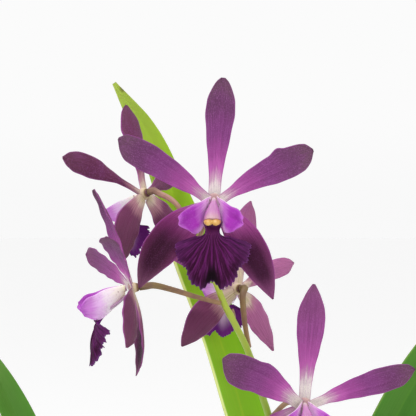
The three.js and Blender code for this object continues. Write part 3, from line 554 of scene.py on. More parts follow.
husk = Finish("dry_sheath")
husk_fibre = husk.noise(husk.lay, (46.0, 3.0, 1.0), 5.0)
husk_body = husk.ramp(husk_fibre, (0.3, 150, 128, 92), (0.5, 196, 176, 138), (0.7, 224, 210, 178))
husk.dress(husk.coat(husk_body, (husk.window(husk.along, 0.7, 1.0, 0.0, 0.5), (128, 98, 66))), 0.7,
           husk.bump(husk_fibre, 0.6, 0.0004))

for k, bulb in enumerate(BULBS, 1):
    t = np.linspace(0, 1, BULB_ROWS)[:, None]
    a = np.linspace(0, 2 * np.pi, BULB_SIDES, endpoint=False)[None]
    rings = bulb_rings(bulb, t, a, 0.0)
    crown = rings[-1].mean(0)
    rings = np.concatenate([rings, [crown + (rings[-1] - crown) * 0.55 + (0, 0, 0.15)]])
    bulb_points = np.concatenate([rings.reshape(-1, 3), [rings[0].mean(0)], [crown + (0, 0, 0.2)]])
    bulb_lay = np.zeros((len(bulb_points), 3))
    bulb_lay[:-2, 0] = np.tile(np.cos(6 * a[0]), len(rings))
    bulb_lay[:-2, 1] = np.repeat(np.append(t[:, 0], 1.0), BULB_SIDES)
    bulb_lay[-1, 1] = 1.0
    make_piece(f"bulb_{k}", [(bulb_points, tube_faces(len(rings), BULB_SIDES), bulb_lay, 0)], [green],
               [f"pseudobulb_{k}"])

    t = np.linspace(0.01, 1, SHEATH_ROWS)[:, None]
    a = np.linspace(0, 2 * np.pi * SHEATH_WRAP, SHEATH_COLS)[None]
    ragged = 0.42 + 0.07 * np.sin(3 * a + 1.7 * k) + 0.03 * np.sin(11 * a + k) + 0.02 * np.sin(29 * a + 2 * k)
    flare = SHEATH_GAP + 1.3 * t ** 3 + 0.25 * np.sin(8 * a + k) * t
    outside, inside = (bulb_rings(bulb, t * ragged, a + 1.1 * k, flare + thick)
                       for thick in (SHEATH_THICKNESS, 0))
    make_piece(f"sheath_{k}", [sheet_form(outside, inside, a / 6.0, t, (0.0, 0.0))], [husk])


# Leaves: thick, satin straps with a keel, folded where they leave the bulb and opening into
# a shallow trough. Fine veins run along them; the tall one is yellower, with a bruised tip.
LEAVES = [
    dict(path=[(16.2, 6.2, 172.6), (12, 14, 222), (-6.3, 28, 299), (-27, 44, 363), (-46.5, 55, 420),
               (-66, 62, 450.5)], width=20.5, face=(60, 4), fold=0.34,
         left=[(0, 1), (0.42, 1), (0.58, 0.86), (0.72, 1), (1, 1)],
         right=[(0, 1), (0.7, 1), (0.84, 0.72), (0.95, 0.76), (1, 1)]),
    dict(path=[(-58, 9, 151), (-71, 12, 195), (-90, 14, 252), (-108, 14, 302), (-128, 14, 338)],
         width=17, face=(70, 24), fold=0.4),
    dict(path=[(26.2, 4.8, 172.6), (34, 10, 218), (46, 12, 262), (62.5, 12, 302.5), (86, 14, 337),
               (115, 18, 360.5)], width=19, face=(-70, -18), fold=0.38),
    dict(path=[(-5, 14, 164), (-4, 34, 210), (4, 68, 254), (14, 108, 272), (22, 146, 262)],
         width=19, face=(0, 0), fold=0.36),
    dict(path=[(-5.5, 5.8, 164), (-6, -16, 204), (-12, -54, 240), (-20, -96, 248), (-26, -134, 226)],
         width=18, face=(180, 180), fold=0.36),
    dict(path=[(-32, 1, 157), (-44, 22, 196), (-66, 52, 232), (-96, 82, 246), (-128, 106, 232)],
         width=18, face=(40, 40), fold=0.38),
    dict(path=[(-32, -7, 157), (-44, -26, 192), (-66, -50, 220), (-94, -74, 226), (-122, -96, 206)],
         width=17, face=(132, 132), fold=0.38),
]
LEAF_WIDTH = [(0, 0.4), (0.1, 0.5), (0.3, 0.84), (0.5, 1), (0.7, 0.97), (0.85, 0.78), (0.95, 0.48), (1, 0.16)]
LEAF_ROWS, LEAF_COLS = 110, 33
FOOT_FOLD = 1.15
EVEN = [(0, 1), (1, 1)]
BRUISE_AT = (-0.0617, 0.0600, 0.4481)


def leaf_finish(name, low, high, tip, under, rim, rim_from, bruised=False):
    """Leaf skin: colour from foot to tip, paler stripe on the keel, long fine veins, pale margin,
    one half painted darker as shade, and a brown bruise at one place."""
    skin = Finish(name)
    across, along = skin.across, skin.along
    lines = skin.noise(skin.lay, (95.0, 3.0, 0.0), 2.0)
    body = skin.ramp(along, (0.0, *low), (0.45, *low), (0.78, *high), (1.0, *tip))
    colour = skin.coat(
        body,
        (skin.window(skin.noise(skin.lay, (16.0, 2.2, 0.0), 4.0, Roughness=0.6), 0.36, 0.64, 0.0, 0.5), high),
        (skin.window(skin.noise(skin.place, 26.0, 3.0), 0.45, 0.7, 0.0, 0.3), low),
        (skin.window(lines, 0.42, 0.6, 0.0, 0.16), tip),
        (skin.window(skin.sums("ABSOLUTE", across), 0.0, 0.09, 0.55, 0.0), high),
        # Painted shade: the half of the blade on the plus side of the keel is darker, fading out between 0.6 and
        # 0.9 of the length.
        (skin.times(skin.window(across, 0.02, 0.12, 0.0, 0.5), skin.window(along, 0.9, 0.6)), low),
        (skin.times(skin.window(across, -rim_from, -rim_from - 0.08, 0.0, 0.95),
                    skin.window(along, 0.9, 0.66)), rim),
        (skin.times(skin.mark, 0.65), under))
    if bruised:
        off_bruise = skin.put("VectorMath", {0: skin.place, 1: BRUISE_AT}, "Value", operation="DISTANCE")
        colour = skin.coat(colour, (skin.window(off_bruise, 0.0008, 0.0028, 0.9, 0.0), (96, 74, 44)))
    skin.dress(colour, 0.42, skin.bump(lines, 0.25, 0.0004), 0.22, (0.12, 0.002, 0.004, 0.001))
    return skin


lime = leaf_finish("lime_leaf_skin", (142, 206, 28), (168, 210, 36), (168, 178, 80), (140, 164, 66),
                   (0.82, 0.92, 0.34, 1), 0.82, True)
deep = leaf_finish("green_leaf_skin", (58, 118, 30), (84, 140, 44), (122, 160, 76), (86, 128, 56),
                   (132, 168, 80), 0.9)

t = np.linspace(0, 1, LEAF_ROWS)
q = np.linspace(-1, 1, LEAF_COLS)
for k, leaf in enumerate(LEAVES, 1):
    line = run_through(leaf["path"], LEAF_ROWS)
    ahead = unit(np.gradient(line, axis=0))
    bearing = np.radians(leaf["face"][0] + (leaf["face"][1] - leaf["face"][0]) * np.minimum(1, 1.6 * t))
    side = np.stack([np.cos(bearing), np.sin(bearing), 0 * t], -1)
    side = unit(side - ahead * np.sum(side * ahead, -1, keepdims=True))
    normal = np.cross(side, ahead)
    half = leaf["width"] / 2 * width_at(LEAF_WIDTH, t) * np.minimum(1, 0.35 + 9 * (1 - t)) ** 0.5
    lift = FOOT_FOLD + (leaf["fold"] - FOOT_FOLD) * np.minimum(1, 2.2 * t)
    left, right = (width_at(leaf.get(edge, EVEN), t)[:, None] for edge in ("left", "right"))
    out = half[:, None] * q * np.where(q < 0, left, right) / np.sqrt(1 + 0.5 * lift[:, None] ** 2)
    rise = (half * lift)[:, None] * (np.abs(q) ** 2 + 0.0025) ** 0.62
    rise += (0.5 * np.sin(8 * t + 1.7 * k)[:, None] * q ** 2
             + 0.22 * np.sin(19 * t + k)[:, None] * q ** 3) * np.minimum(1, 3 * t)[:, None]
    front = line[:, None] + out[..., None] * side[:, None] + rise[..., None] * normal[:, None]
    thick = (1.6 - 1.15 * np.abs(q) ** 1.5)[None] * np.minimum(1, 0.3 + 8 * (1 - t))[:, None]
    make_piece(f"strap_leaf_{k}", [sheet_form(front, front - thick[..., None] * normal[:, None], q, t[:, None])],
               [lime if k == 1 else deep], [f"leaf_{k}"])


# Flower stem: a slender yellow green stem that arches up from the newest pseudobulb. A small
# dry scale leaf clasps it under each pedicel.
STEM_PATH = [
    (21, 2, 172.6), (20.5, -3, 205), (16, -8, 250), (4.1, -10, 302.5), (1.8, -10, 309.8),
    (-5, -10, 330.9), (-10.2, -10, 341.6), (-15, -10, 350.8), (-18.6, -10, 359.7),
    (-22.4, -10, 368.6), (-26.2, -10, 377.5), (-29.3, -10.5, 384.5), (-30.6, -11.5, 388),
]
STEM_RADIUS, STEM_TIP_RADIUS, STEM_ROWS = 1.75, 1.25, 240
SCALE_LEAVES = [(6.6, -9.8, 290.6, 10, 7), (-3.4, -10, 326, 200, 7), (-12.4, -10, 346, 150, 5),
                (-24.3, -10, 373, 60, 6), (-28.4, -10.2, 382, 140, 6)]
SCALE_THICKNESS, SCALE_ROWS, SCALE_COLS = 0.4, 14, 11
stem_line = run_through(STEM_PATH, STEM_ROWS)
stem_wide = STEM_RADIUS + (STEM_TIP_RADIUS - STEM_RADIUS) * np.linspace(0, 1, STEM_ROWS) ** 1.5
scale_forms = []
s = np.linspace(0, 1, SCALE_ROWS)[:, None]
q = np.linspace(-1, 1, SCALE_COLS)[None]
for x, y, z, bearing, tall in SCALE_LEAVES:
    stem_wide = stem_wide + 0.22 * np.exp(-((stem_line[:, 2] - z) / 1.4) ** 2)
    a = np.radians(bearing)
    wide = 2.1 * (1 - 0.85 * s ** 1.4)
    reach = 1.15 + 1.3 * s
    scale_front = np.stack([
        x + wide * q * np.cos(a) + reach * np.sin(a), y - reach * np.cos(a) + 0.5 * np.abs(q) ** 1.5 + 0 * s,
        z - 1.5 + tall * s * 0.8 + 0 * q], -1)
    scale_back = scale_front + np.array([-SCALE_THICKNESS * np.sin(a), SCALE_THICKNESS * np.cos(a), 0])
    scale_forms.append(sheet_form(scale_front, scale_back, q, s, (1.0, 1.0)))

stalk = Finish("stem_skin")
stalk_streak = stalk.noise(stalk.place, (500.0, 500.0, 60.0), 3.0)
stalk_body = stalk.ramp(stalk.along, (0.0, 112, 148, 52), (0.5, 154, 192, 54), (0.85, 200, 222, 74),
                        (1.0, 184, 186, 84))
stalk.dress(
    stalk.coat(stalk_body, (stalk.window(stalk_streak, 0.4, 0.65, 0.0, 0.35), (186, 204, 104)),
               (stalk.mark, (176, 138, 112))), 0.45, stalk.bump(stalk_streak, 0.2, 0.0003))
make_piece("arching_stem", [rod_form(stem_line, stem_wide, sides=20), *scale_forms], [stalk],
           ["flower_stem"])


# Blooms: five on the stem. Each has a hub with three sepals and two petals, a lip of three
# lobes, a column with its yellow cap, and a brownish pedicel that joins the hub to the stem.
# A tepal's numbers: length, heading, sideways bend, forward lean, curl, twist at foot, added
# twist, width factor, foot offsets across and up. A lip's numbers: its turn sideways, up and
# round from the way the bloom looks, its size, and its fan's size. The last row of each bloom
# is how far the pale foot of its tepals reaches, how pink each tepal is, and how pink the stalk.
# The tepals' pink is partly painted light: tepals turned to the light are given more of it.
HUB_BACK, HUB_FRONT, HUB_RADIUS, GAP = -3.2, 1.25, 3.1, 0.3
BLOOMS = [
    dict(at=(-19.5, -38, 395.4), facing=(0, -2, 0), tepals=dict(
        dorsal=(50.3, 4.3, 2, 10, -14, 0, 0, 0.98, 0, 0),
        petal_right=(45.2, 62.5, 15, 10, -16, 0, 0, 1, 1, -1.4),
        petal_left=(47.2, -57, -16, 12, -16, 0, 0, 0.96, -0.6, -1.6),
        lateral_right=(46, 149.5, 22, 10, -16, 0, 0, 1, 0.8, -1.2),
        lateral_left=(46.3, -138.7, -42, 12, -16, 0, 0, 1.08, -0.8, -2.2)),
        lip=(-4, 0, 0, 1, 1), pedicel=[(-20.4, -25, 391.5), (-24.2, -17.5, 383.5)], foot=378,
        pale=0.0, pink_and_light=(0, 0, 0, 0.9, 0), stalk_pink=0.4),
    dict(at=(-50.2, 8, 398.2), facing=(-136, -12, 0), tepals=dict(
        dorsal=(46, -12, 18, 16.5, -10, 0, 0, 0.92, 0, 0),
        petal_right=(42.4, 66.4, 26, 6, -12, 0, 18, 0.78, 0.6, -0.6),
        petal_left=(42, -67, -4, 20, -6, 0, 0, 0.86, -0.6, -0.6),
        lateral_right=(42, 139.3, 16, -14, -14, 0, 0, 0.92, 0.8, -1),
        lateral_left=(43, -129.6, -24, 13, -10, 0, 0, 1, -0.8, -1)),
        lip=(12, 2, 0, 0.72, 1), pedicel=[(-43, -0.5, 398.2), (-36.5, -6.5, 394.5)], foot=386.6,
        pale=0.0, pink_and_light=(0, 0, 0, 0, 0), stalk_pink=1.0),
    dict(at=(-54.3, -30, 358.4), facing=(-83.6, -7, -12), tepals=dict(
        dorsal=(44.6, -3.2, 2, 13, 14, -14, 0, 0.98, 0, 0),
        petal_right=(43.6, 69, 12, 13, 4, -20, -50, 0.8, 0.6, -0.6),
        petal_left=(44.3, -56, -12, 20, 10, 0, 0, 0.84, -0.6, -0.6),
        lateral_right=(42.8, 131, 16, 9.5, 13, 5, -48, 0.92, 0.8, -1),
        lateral_left=(43.2, -138.5, -16, 2, 34, 0, 10, 1, -0.8, -1)),
        lip=(0, 8, 12, 0.96, 0.9), pedicel=[(-45, -27, 359.4), (-36, -21.5, 357), (-27, -16, 354)], foot=351,
        pale=0.06, pink_and_light=(0, 0, 0.6, 0, 0.4), stalk_pink=0.1),
    dict(at=(-9.3, 4, 356.5), facing=(-148, -5, -13.4), tepals=dict(
        dorsal=(46, -12.8, 2, 19, -10, 0, 0, 0.95, 0, 0),
        petal_left=(44.2, -60, -14, 19.6, -10, 0, 0, 0.7, -0.6, -0.6),
        petal_right=(43.4, 60.6, 12, 24, -10, 0, 0, 1, 0.6, -0.6),
        lateral_left=(40.6, -121, -32, 22, -12, 0, 0, 0.78, -0.8, -1),
        lateral_right=(39.5, 139.1, 16, -9.4, -12, 0, 0, 0.94, 0.8, -1)),
        lip=(-15, 27, 8, 0.76, 1), pedicel=[(-6.9, -3.3, 354.4), (-6.6, -4.8, 347), (-5.6, -6, 339)], foot=331,
        pale=0.16, pink_and_light=(0.6, 1, 0.5, 0.8, 0.2), stalk_pink=0.0),
    dict(at=(17.6, -45, 311.2), facing=(5, -3, 0), tepals=dict(
        dorsal=(49.6, 3.2, 2, 7, -14, 0, 0, 0.93, 0, 0),
        petal_right=(46.6, 70, 14, 15, -16, 0, 0, 0.88, 1, -1.2),
        petal_left=(45.6, -59, -20, 26, -16, 0, 0, 1.08, -0.6, -1.2),
        lateral_right=(46, 150, 22, 13, -16, 0, 0, 1, 0.8, -1.2),
        lateral_left=(46, -137, -38, 10, -16, 0, 0, 1, -0.8, -2)),
        lip=(0, 0, 0, 1, 1), pedicel=[(15.5, -34, 310.9), (11.2, -22, 309.2)], foot=301.5,
        pale=0.1, pink_and_light=(0.8, 0.1, 0.1, 0, 0), stalk_pink=0.3),
]
DORSAL = [(0, 0.4), (0.15, 0.43), (0.3, 0.56), (0.45, 0.74), (0.6, 0.88), (0.72, 1), (0.8, 0.96), (0.9, 0.7),
          (0.97, 0.4), (1, 0.14)]
PETAL = [(0, 0.34), (0.15, 0.4), (0.28, 0.62), (0.42, 0.8), (0.57, 0.92), (0.72, 1), (0.85, 0.92), (0.94, 0.62),
         (1, 0.08)]
SLIM_PETAL = [(0, 0.26), (0.15, 0.27), (0.28, 0.38), (0.42, 0.64), (0.55, 0.93), (0.66, 1), (0.8, 0.94),
              (0.92, 0.66), (1, 0.08)]
LATERAL = [(0, 0.36), (0.15, 0.62), (0.3, 0.88), (0.45, 1), (0.6, 0.96), (0.75, 0.74), (0.88, 0.42), (1, 0.05)]
KEEN_DORSAL = [(0, 0.4), (0.15, 0.43), (0.3, 0.56), (0.45, 0.76), (0.6, 0.94), (0.7, 1), (0.8, 0.88), (0.9, 0.58),
               (0.97, 0.26), (1, 0.1)]
# Width, outline, how far the edges rise, and the mark of each kind of tepal. Single tepals with
# another outline, or with uneven edges, are named by ten times the bloom plus their place in it:
# the share of each edge along the tepal, then how far the middle sways aside, in mm.
TEPAL_KINDS = dict(dorsal=(12.6, DORSAL, 0.12, 0.0), petal=(12.4, PETAL, 0.1, 0.0),
                   lateral=(14.4, LATERAL, 0.15, 0.5))
OUTLINES = {21: SLIM_PETAL, 22: SLIM_PETAL, 40: KEEN_DORSAL, 50: KEEN_DORSAL}
STRAIGHT = [(0, 0), (1, 0)]
SLIM_FOOT = [(0, 0.8), (0.3, 0.84), (0.5, 1), (1, 1)]
SLIM_TIP = [(0, 1), (0.5, 1), (0.68, 0.74), (0.85, 0.5), (1, 0.5)]
UNEVEN = {
    11: ([(0, 1), (0.6, 1), (0.7, 1.22), (0.77, 1.04), (0.9, 1.08), (1, 1.2)],
         [(0, 1), (0.12, 0.8), (0.35, 0.82), (0.6, 1), (1, 1)], [(0, 0), (0.84, 0), (1, -1.1)]),
    12: (EVEN, [(0, 1), (0.85, 1), (0.93, 1.1), (1, 1.2)], [(0, 0), (0.86, 0), (1, 1.5)]),
    20: (SLIM_FOOT, SLIM_FOOT, STRAIGHT),
    30: (SLIM_TIP, SLIM_TIP, STRAIGHT),
    51: ([(0, 1), (0.85, 1), (0.94, 1.05), (1, 1.2)], [(0, 0.9), (0.3, 0.84), (0.6, 0.9), (0.85, 0.84), (1, 0.7)],
         [(0, 0), (0.84, 0), (1, -1.2)]),
    52: ([(0, 1), (0.6, 1), (0.75, 1.1), (1, 1)],
         [(0, 1), (0.35, 1.04), (0.56, 1.2), (0.68, 0.98), (0.9, 0.98), (1, 1.1)],
         [(0, 0), (0.86, 0), (1, 1.3)]),
}
TEPAL_ROWS, TEPAL_COLS, TEPAL_THICKNESS = 84, 25, 0.9


def bloom_axes(facing, turn=(0, 0, 0)):
    """The bloom's own axes from its bearing, pitch and roll: right, up and the way it looks."""
    bearing, pitch, roll = np.radians(np.add(facing, turn))
    look = np.array([np.sin(bearing) * np.cos(pitch), -np.cos(bearing) * np.cos(pitch), np.sin(pitch)])
    rise = np.array([-np.sin(bearing) * np.sin(pitch), np.cos(bearing) * np.sin(pitch), np.cos(pitch)])
    across = np.cross(rise, look)
    return np.stack([np.cos(roll) * across - np.sin(roll) * rise,
                     np.cos(roll) * rise + np.sin(roll) * across, look])


def tepal_form(numbers, kind, seed, pale, pink_and_light):
    """A tepal in the bloom's axes: a centre line whose heading and lean change evenly along it,
    and a cupped, faintly waved width either side, with a groove along its middle."""
    length, heading, bend, lean, curl, twist_foot, twist, factor, off_x, off_y = numbers
    width, outline, cup, mark = TEPAL_KINDS[kind]
    t = np.linspace(0, 1, TEPAL_ROWS) ** 0.92
    mid = (t[1:] + t[:-1]) / 2

    def ahead(s):
        h, f = np.radians(heading + bend * (s - 0.5)), np.radians(lean + curl * (s - 0.5))
        return np.stack([np.cos(f) * np.sin(h), np.cos(f) * np.cos(h), np.sin(f)], -1)

    line = np.cumsum(np.concatenate([[[off_x, off_y, 0]] + 1.2 * ahead(np.zeros(1)),
                                     ahead(mid) * (np.diff(t) * length)[:, None]]), 0)
    h = np.radians(heading + bend * (t - 0.5))
    flat = np.stack([np.cos(h), -np.sin(h), 0 * t], -1)
    up = np.cross(flat, ahead(t))
    turn = np.radians(twist_foot + twist * t)[:, None]
    side = np.cos(turn) * flat + np.sin(turn) * up
    normal = np.cos(turn) * up - np.sin(turn) * flat
    q = np.linspace(-1, 1, TEPAL_COLS)
    q = np.sign(q) * np.abs(q) ** 0.85
    rng = np.random.default_rng(seed)
    nick = 1 + (0.018 * np.sin(23 * t + rng.uniform(0, 6)) * np.sin(9 * t + rng.uniform(0, 6))
                * np.minimum(1, 3 * t))
    half = (width * factor / 2 * width_at(OUTLINES.get(seed, outline), t) * nick)[:, None]
    minus, plus, sway = (width_at(s, t)[:, None] for s in UNEVEN.get(seed, (EVEN, EVEN, STRAIGHT)))
    line = line + sway * side
    t = t[:, None]
    grow = np.minimum(1, 3 * t)
    rise = cup * half * q ** 2 * np.minimum(1, 4 * t)
    rise += 0.35 * np.sin(9 * t + 2 * q) * q ** 2 * grow
    rise += 0.22 * np.sin(31 * t + 4 * q + rng.uniform(0, 6)) * np.abs(q) ** 3 * grow
    rise -= 0.3 * np.exp(-(q / 0.1) ** 2) * (1 - 0.6 * t) * grow
    rise += 0.07 * np.cos(q * 26) * (1 - np.abs(q)) * grow
    out = half * q * np.where(q < 0, minus, plus)
    front = line[:, None] + out[..., None] * side[:, None] + rise[..., None] * normal[:, None]
    thick = (TEPAL_THICKNESS - 0.6 * np.abs(q) ** 3)[None] * np.minimum(1, 0.4 + 9 * (1 - t))
    shift = pale - 0.05 if kind == "petal" else pale
    reach = np.maximum(t - shift * (1 - t) + 0.03, 0.07)
    # The pink added to the mark is partly a pink tint and partly painted light.
    mark = mark + 0.2 * pink_and_light
    return sheet_form(front, front - thick[..., None] * normal[:, None], q, reach, (mark, mark + 1.0))


# Tepal skin: pale at the foot, then pink and wine purple, with a dark heart on the laterals,
# fine veins and a lighter rim, which is a painted edge highlight. The mark tells front from
# back, laterals, and how pink it is; that pink is partly painted light on tepals turned to the light.
tepal = Finish("tepal_skin")
tepal_line = tepal.noise(tepal.lay, (30.0, 2.4, 5.0), 3.0)
tepal_cell = tepal.noise(tepal.place, 2200.0, 2.0)
tepal_vein = tepal.noise(tepal.lay, (9.0, 1.6, 3.0), 5.0, Roughness=0.6)
is_back = tepal.window(tepal.mark, 0.7, 0.9)
is_lateral = tepal.sums("ADD", tepal.window(tepal.mark, 0.3, 0.5),
                        tepal.sums("SUBTRACT", tepal.window(tepal.mark, 1.3, 1.5), is_back))
not_lateral = tepal.sums("SUBTRACT", 1.0, is_lateral)
# Share of the pink coat: partly a pink tint, partly painted light on tepals turned to the light.
pink_and_light_mask = tepal.window(tepal.sums("MODULO", tepal.sums("ADD", tepal.mark, 0.02), 0.5), 0.03, 0.22)
edge_far = tepal.sums("ABSOLUTE", tepal.across)
wavered = tepal.times(tepal.sums("SUBTRACT", tepal_vein, 0.5), 0.24)
tepal_reach = tepal.sums("ADD", tepal.sums("ADD", tepal.along, wavered), tepal.times(edge_far, 0.06))
tepal_face = tepal.ramp(
    tepal_reach, (0.0, 0.86, 0.78, 0.5, 1), (0.06, 0.96, 0.9, 0.84, 1), (0.15, 0.97, 0.86, 0.84, 1),
    (0.23, 252, 192, 232), (0.32, 228, 118, 210), (0.43, 192, 92, 178), (0.62, 160, 82, 154),
    (0.84, 126, 74, 118), (1.0, 124, 84, 110))
lateral_face = tepal.ramp(
    tepal_reach, (0.0, 0.86, 0.78, 0.5, 1), (0.05, 0.9, 0.78, 0.76, 1), (0.13, 230, 160, 214),
    (0.24, 200, 104, 182), (0.42, 166, 68, 140), (0.7, 130, 56, 104), (1.0, 134, 82, 112))
back_face = tepal.ramp(
    tepal_reach, (0.0, 104, 80, 50), (0.03, 140, 112, 72), (0.06, 240, 222, 176), (0.12, 246, 220, 200),
    (0.21, 204, 146, 160), (0.36, 132, 66, 104), (0.7, 118, 58, 92), (1.0, 124, 70, 98))
heart = tepal.times(tepal.window(edge_far, 1.0, 0.3, 0.45, 1.0),
                    tepal.times(tepal.window(tepal.along, 0.24, 0.58), tepal.window(tepal.along, 1.05, 0.78)))
heart_share = tepal.times(heart, tepal.sums("ADD", 0.2, tepal.times(is_lateral, 0.7)))
heart_deep = tepal.coat((100, 40, 92), (is_lateral, (40, 4, 24)))
front_share, back_share = (tepal.times(pink_and_light_mask, tepal.window(tepal_reach, 0.16, 0.3, 0.0, most))
                           for most in (0.34, 0.7))
front = tepal.coat(tepal_face, (is_lateral, lateral_face), (front_share, (216, 110, 192)),
                   (heart_share, heart_deep))
tepal.dress(
    tepal.coat(front, (is_back, tepal.coat(back_face, (back_share, (228, 136, 194)))),
               (tepal.window(tepal_line, 0.42, 0.66, 0.0, 0.34), (84, 26, 72)),
               (tepal.times(tepal.window(tepal.noise(tepal.place, 180.0, 4.0), 0.45, 0.8, 0.0, 0.2), not_lateral),
                (150, 74, 150)),
               (tepal.times(tepal.window(tepal_cell, 0.5, 0.68, 0.0, 0.2), tepal.sums("ADD", 0.3, not_lateral)),
                (196, 118, 196)),
               # Painted highlight: a lighter violet line along every edge.
               (tepal.window(edge_far, 0.9, 1.0, 0.0, 0.55), (190, 92, 184))),
    0.5, tepal.bump(tepal_line, 0.65, 0.0005, Normal=tepal.bump(tepal_cell, 0.4, 0.0003)), 0.09)


# Lip: a claw runs under the column and opens into a hanging fan, near black, with raised
# violet keels and a frilled edge. A bright violet wing stands on each side of the column.
LOBE_LOW = [(1.3, -2.9, 3.1), (2.3, -5.6, 5.8), (3.6, -9.8, 9.2), (4.9, -12.6, 12.9), (6.8, -13.2, 17),
            (9.6, -11.8, 20.4)]
LOBE_HIGH = [(1.2, 1.6, 3), (2.1, 1.2, 6), (3.9, 0.2, 10.6), (7.3, -1.7, 15.6), (11.2, -3.8, 20),
             (13, -6.4, 22.4)]
HALF_REACH = [(0, 19.8), (0.14, 24.4), (0.3, 22.5), (0.45, 19.8), (0.62, 18.6), (0.82, 18), (0.93, 16.8),
              (1, 14.2)]
FAN_REACH = [(-a, reach) for a, reach in HALF_REACH[:0:-1]] + HALF_REACH
LIP_PIVOT = np.array([0, -2, 2.6])
CLAW_PATH, CLAW_HALF = [(0, -3, 2.8), (0, -5.9, 5.7), (0, -9.4, 9.9), (0, -12.1, 12.4)], [2.2, 3.6, 4.7, 2.9]
LIP_THICKNESS, FAN_ANGLE, KEEL_PITCH = 0.8, 73.0, 37.699
WING_ROWS, WING_COLS, CLAW_ROWS, FAN_ROWS, FAN_COLS = 64, 33, 16, 74, 145


def wing_form(mirror, seed):
    """A side lobe: straight rulings from its lower to its upper edge, bowed outwards, with a
    wavy free end. Its inner side faces the column."""
    low = run_through(LOBE_LOW, WING_ROWS)[:, None]
    high = run_through(LOBE_HIGH, WING_ROWS)[:, None]
    t = np.linspace(0, 1, WING_ROWS)[:, None]
    s = np.linspace(0, 1, WING_COLS)[None]
    rng = np.random.default_rng(seed)
    lie = low + (high - low) * s[..., None]
    end_round = 1 - (2 * s - 1) ** 2
    lie[..., 0] += 4 * s * (1 - s) * (0.5 + 0.9 * t) + 0.5 * np.sin(9 * s + 2.5 * t + rng.uniform(0, 6)) * t ** 3
    lie[..., 1] += 0.3 * np.sin(14 * t + rng.uniform(0, 6)) * np.abs(2 * s - 1) ** 4 * t
    lie[..., 2] += 1.4 * end_round * t ** 6 + 0.35 * np.sin(11 * s + rng.uniform(0, 6)) * t ** 4
    curl = 1.6 * np.maximum(0, s - 0.74) ** 1.5 * np.sin(np.pi * t) ** 0.6 * t
    lie[..., 0] += 3.2 * curl
    lie[..., 1] -= 1.2 * curl
    normal = unit(np.cross(np.gradient(lie, axis=0), np.gradient(lie, axis=1)))
    thick = LIP_THICKNESS * (1 - 0.6 * np.maximum(t, np.abs(2 * s - 1)) ** 4)
    sides = [lie + normal * thick[..., None] / 2, lie - normal * thick[..., None] / 2]
    if normal[WING_ROWS // 2, WING_COLS // 2, 0] > 0:
        sides = sides[::-1]
    inner, outer = (side * np.array([-1 if mirror else 1, 1, 1]) for side in sides)
    return sheet_form(inner, outer, s, t, number=1)


def fan_form(seed, size):
    """The claw and middle lobe: claw rows, then arcs whose reach follows the lobe's outline.
    Keels are narrow cosines across the fan, the frill is a wave that grows towards the edge."""
    a = np.linspace(-1, 1, FAN_COLS)[None]
    rng = np.random.default_rng(seed)
    claw_line = run_through(CLAW_PATH, CLAW_ROWS)
    claw_half = np.interp(np.linspace(0, 1, CLAW_ROWS), np.linspace(0, 1, 4), CLAW_HALF)[:, None]
    claw = np.stack([claw_half * a, claw_line[:, 1:2] + 0.25 * claw_half * a ** 2,
                     claw_line[:, 2:3] + 0 * a], -1)
    r = np.linspace(0.06, 1, FAN_ROWS)[:, None]
    spread = np.radians(FAN_ANGLE * a * np.minimum(1, 0.5 + 1.2 * r))
    phase = 6 * np.pi * (a + 1)
    notch = np.abs((17.5 * a + 0.35 * np.sin(9 * a + rng.uniform(0, 6))) % 1 - 0.5)
    tooth = (0.5 * np.cos(phase) + 0.3 * np.sin(47 * a + rng.uniform(0, 6))) * r ** 7
    tooth = tooth + (2.1 * notch - 0.6) * r ** 12
    reach = size * width_at(FAN_REACH, a) * r + tooth
    u = reach * np.sin(spread) + 2.9 * a * (1 - r) ** 2
    v = -12.4 - reach * np.cos(spread)
    frill = 0.9 * np.sin(11.4 * (a + 1) + 0.6) * r ** 4 + 0.55 * np.sin(37 * a + rng.uniform(0, 6)) * r ** 7
    keel = (0.5 + 0.5 * np.cos(phase)) ** 3 + 0.6 * (0.5 + 0.5 * np.cos(phase + np.pi)) ** 4
    ridge = 0.75 * keel * np.sin(np.pi * np.minimum(1, 0.1 + r) ** 0.8) * np.minimum(1, 8 * r)
    n = 13.2 + 4.4 * np.sin(r * 1.9) - 7.2 * (u / 15) ** 2 + frill + ridge
    fan_normal = unit(np.stack(np.broadcast_arrays(0.55 * a * r, 0.62 * (1 - r), 1.0), -1))
    front = np.concatenate([claw, np.stack([u, v, n], -1)])
    normal = np.concatenate([np.broadcast_to(np.array([0, 0.78, 0.62]), claw.shape), fan_normal])
    thin = np.concatenate([np.ones((CLAW_ROWS, 1)), 1 - 0.55 * r ** 3])[..., None]
    along = np.concatenate([np.linspace(-0.3, 0, CLAW_ROWS), r[:, 0]])[:, None]
    return sheet_form(front, front - normal * LIP_THICKNESS * thin, a, along)


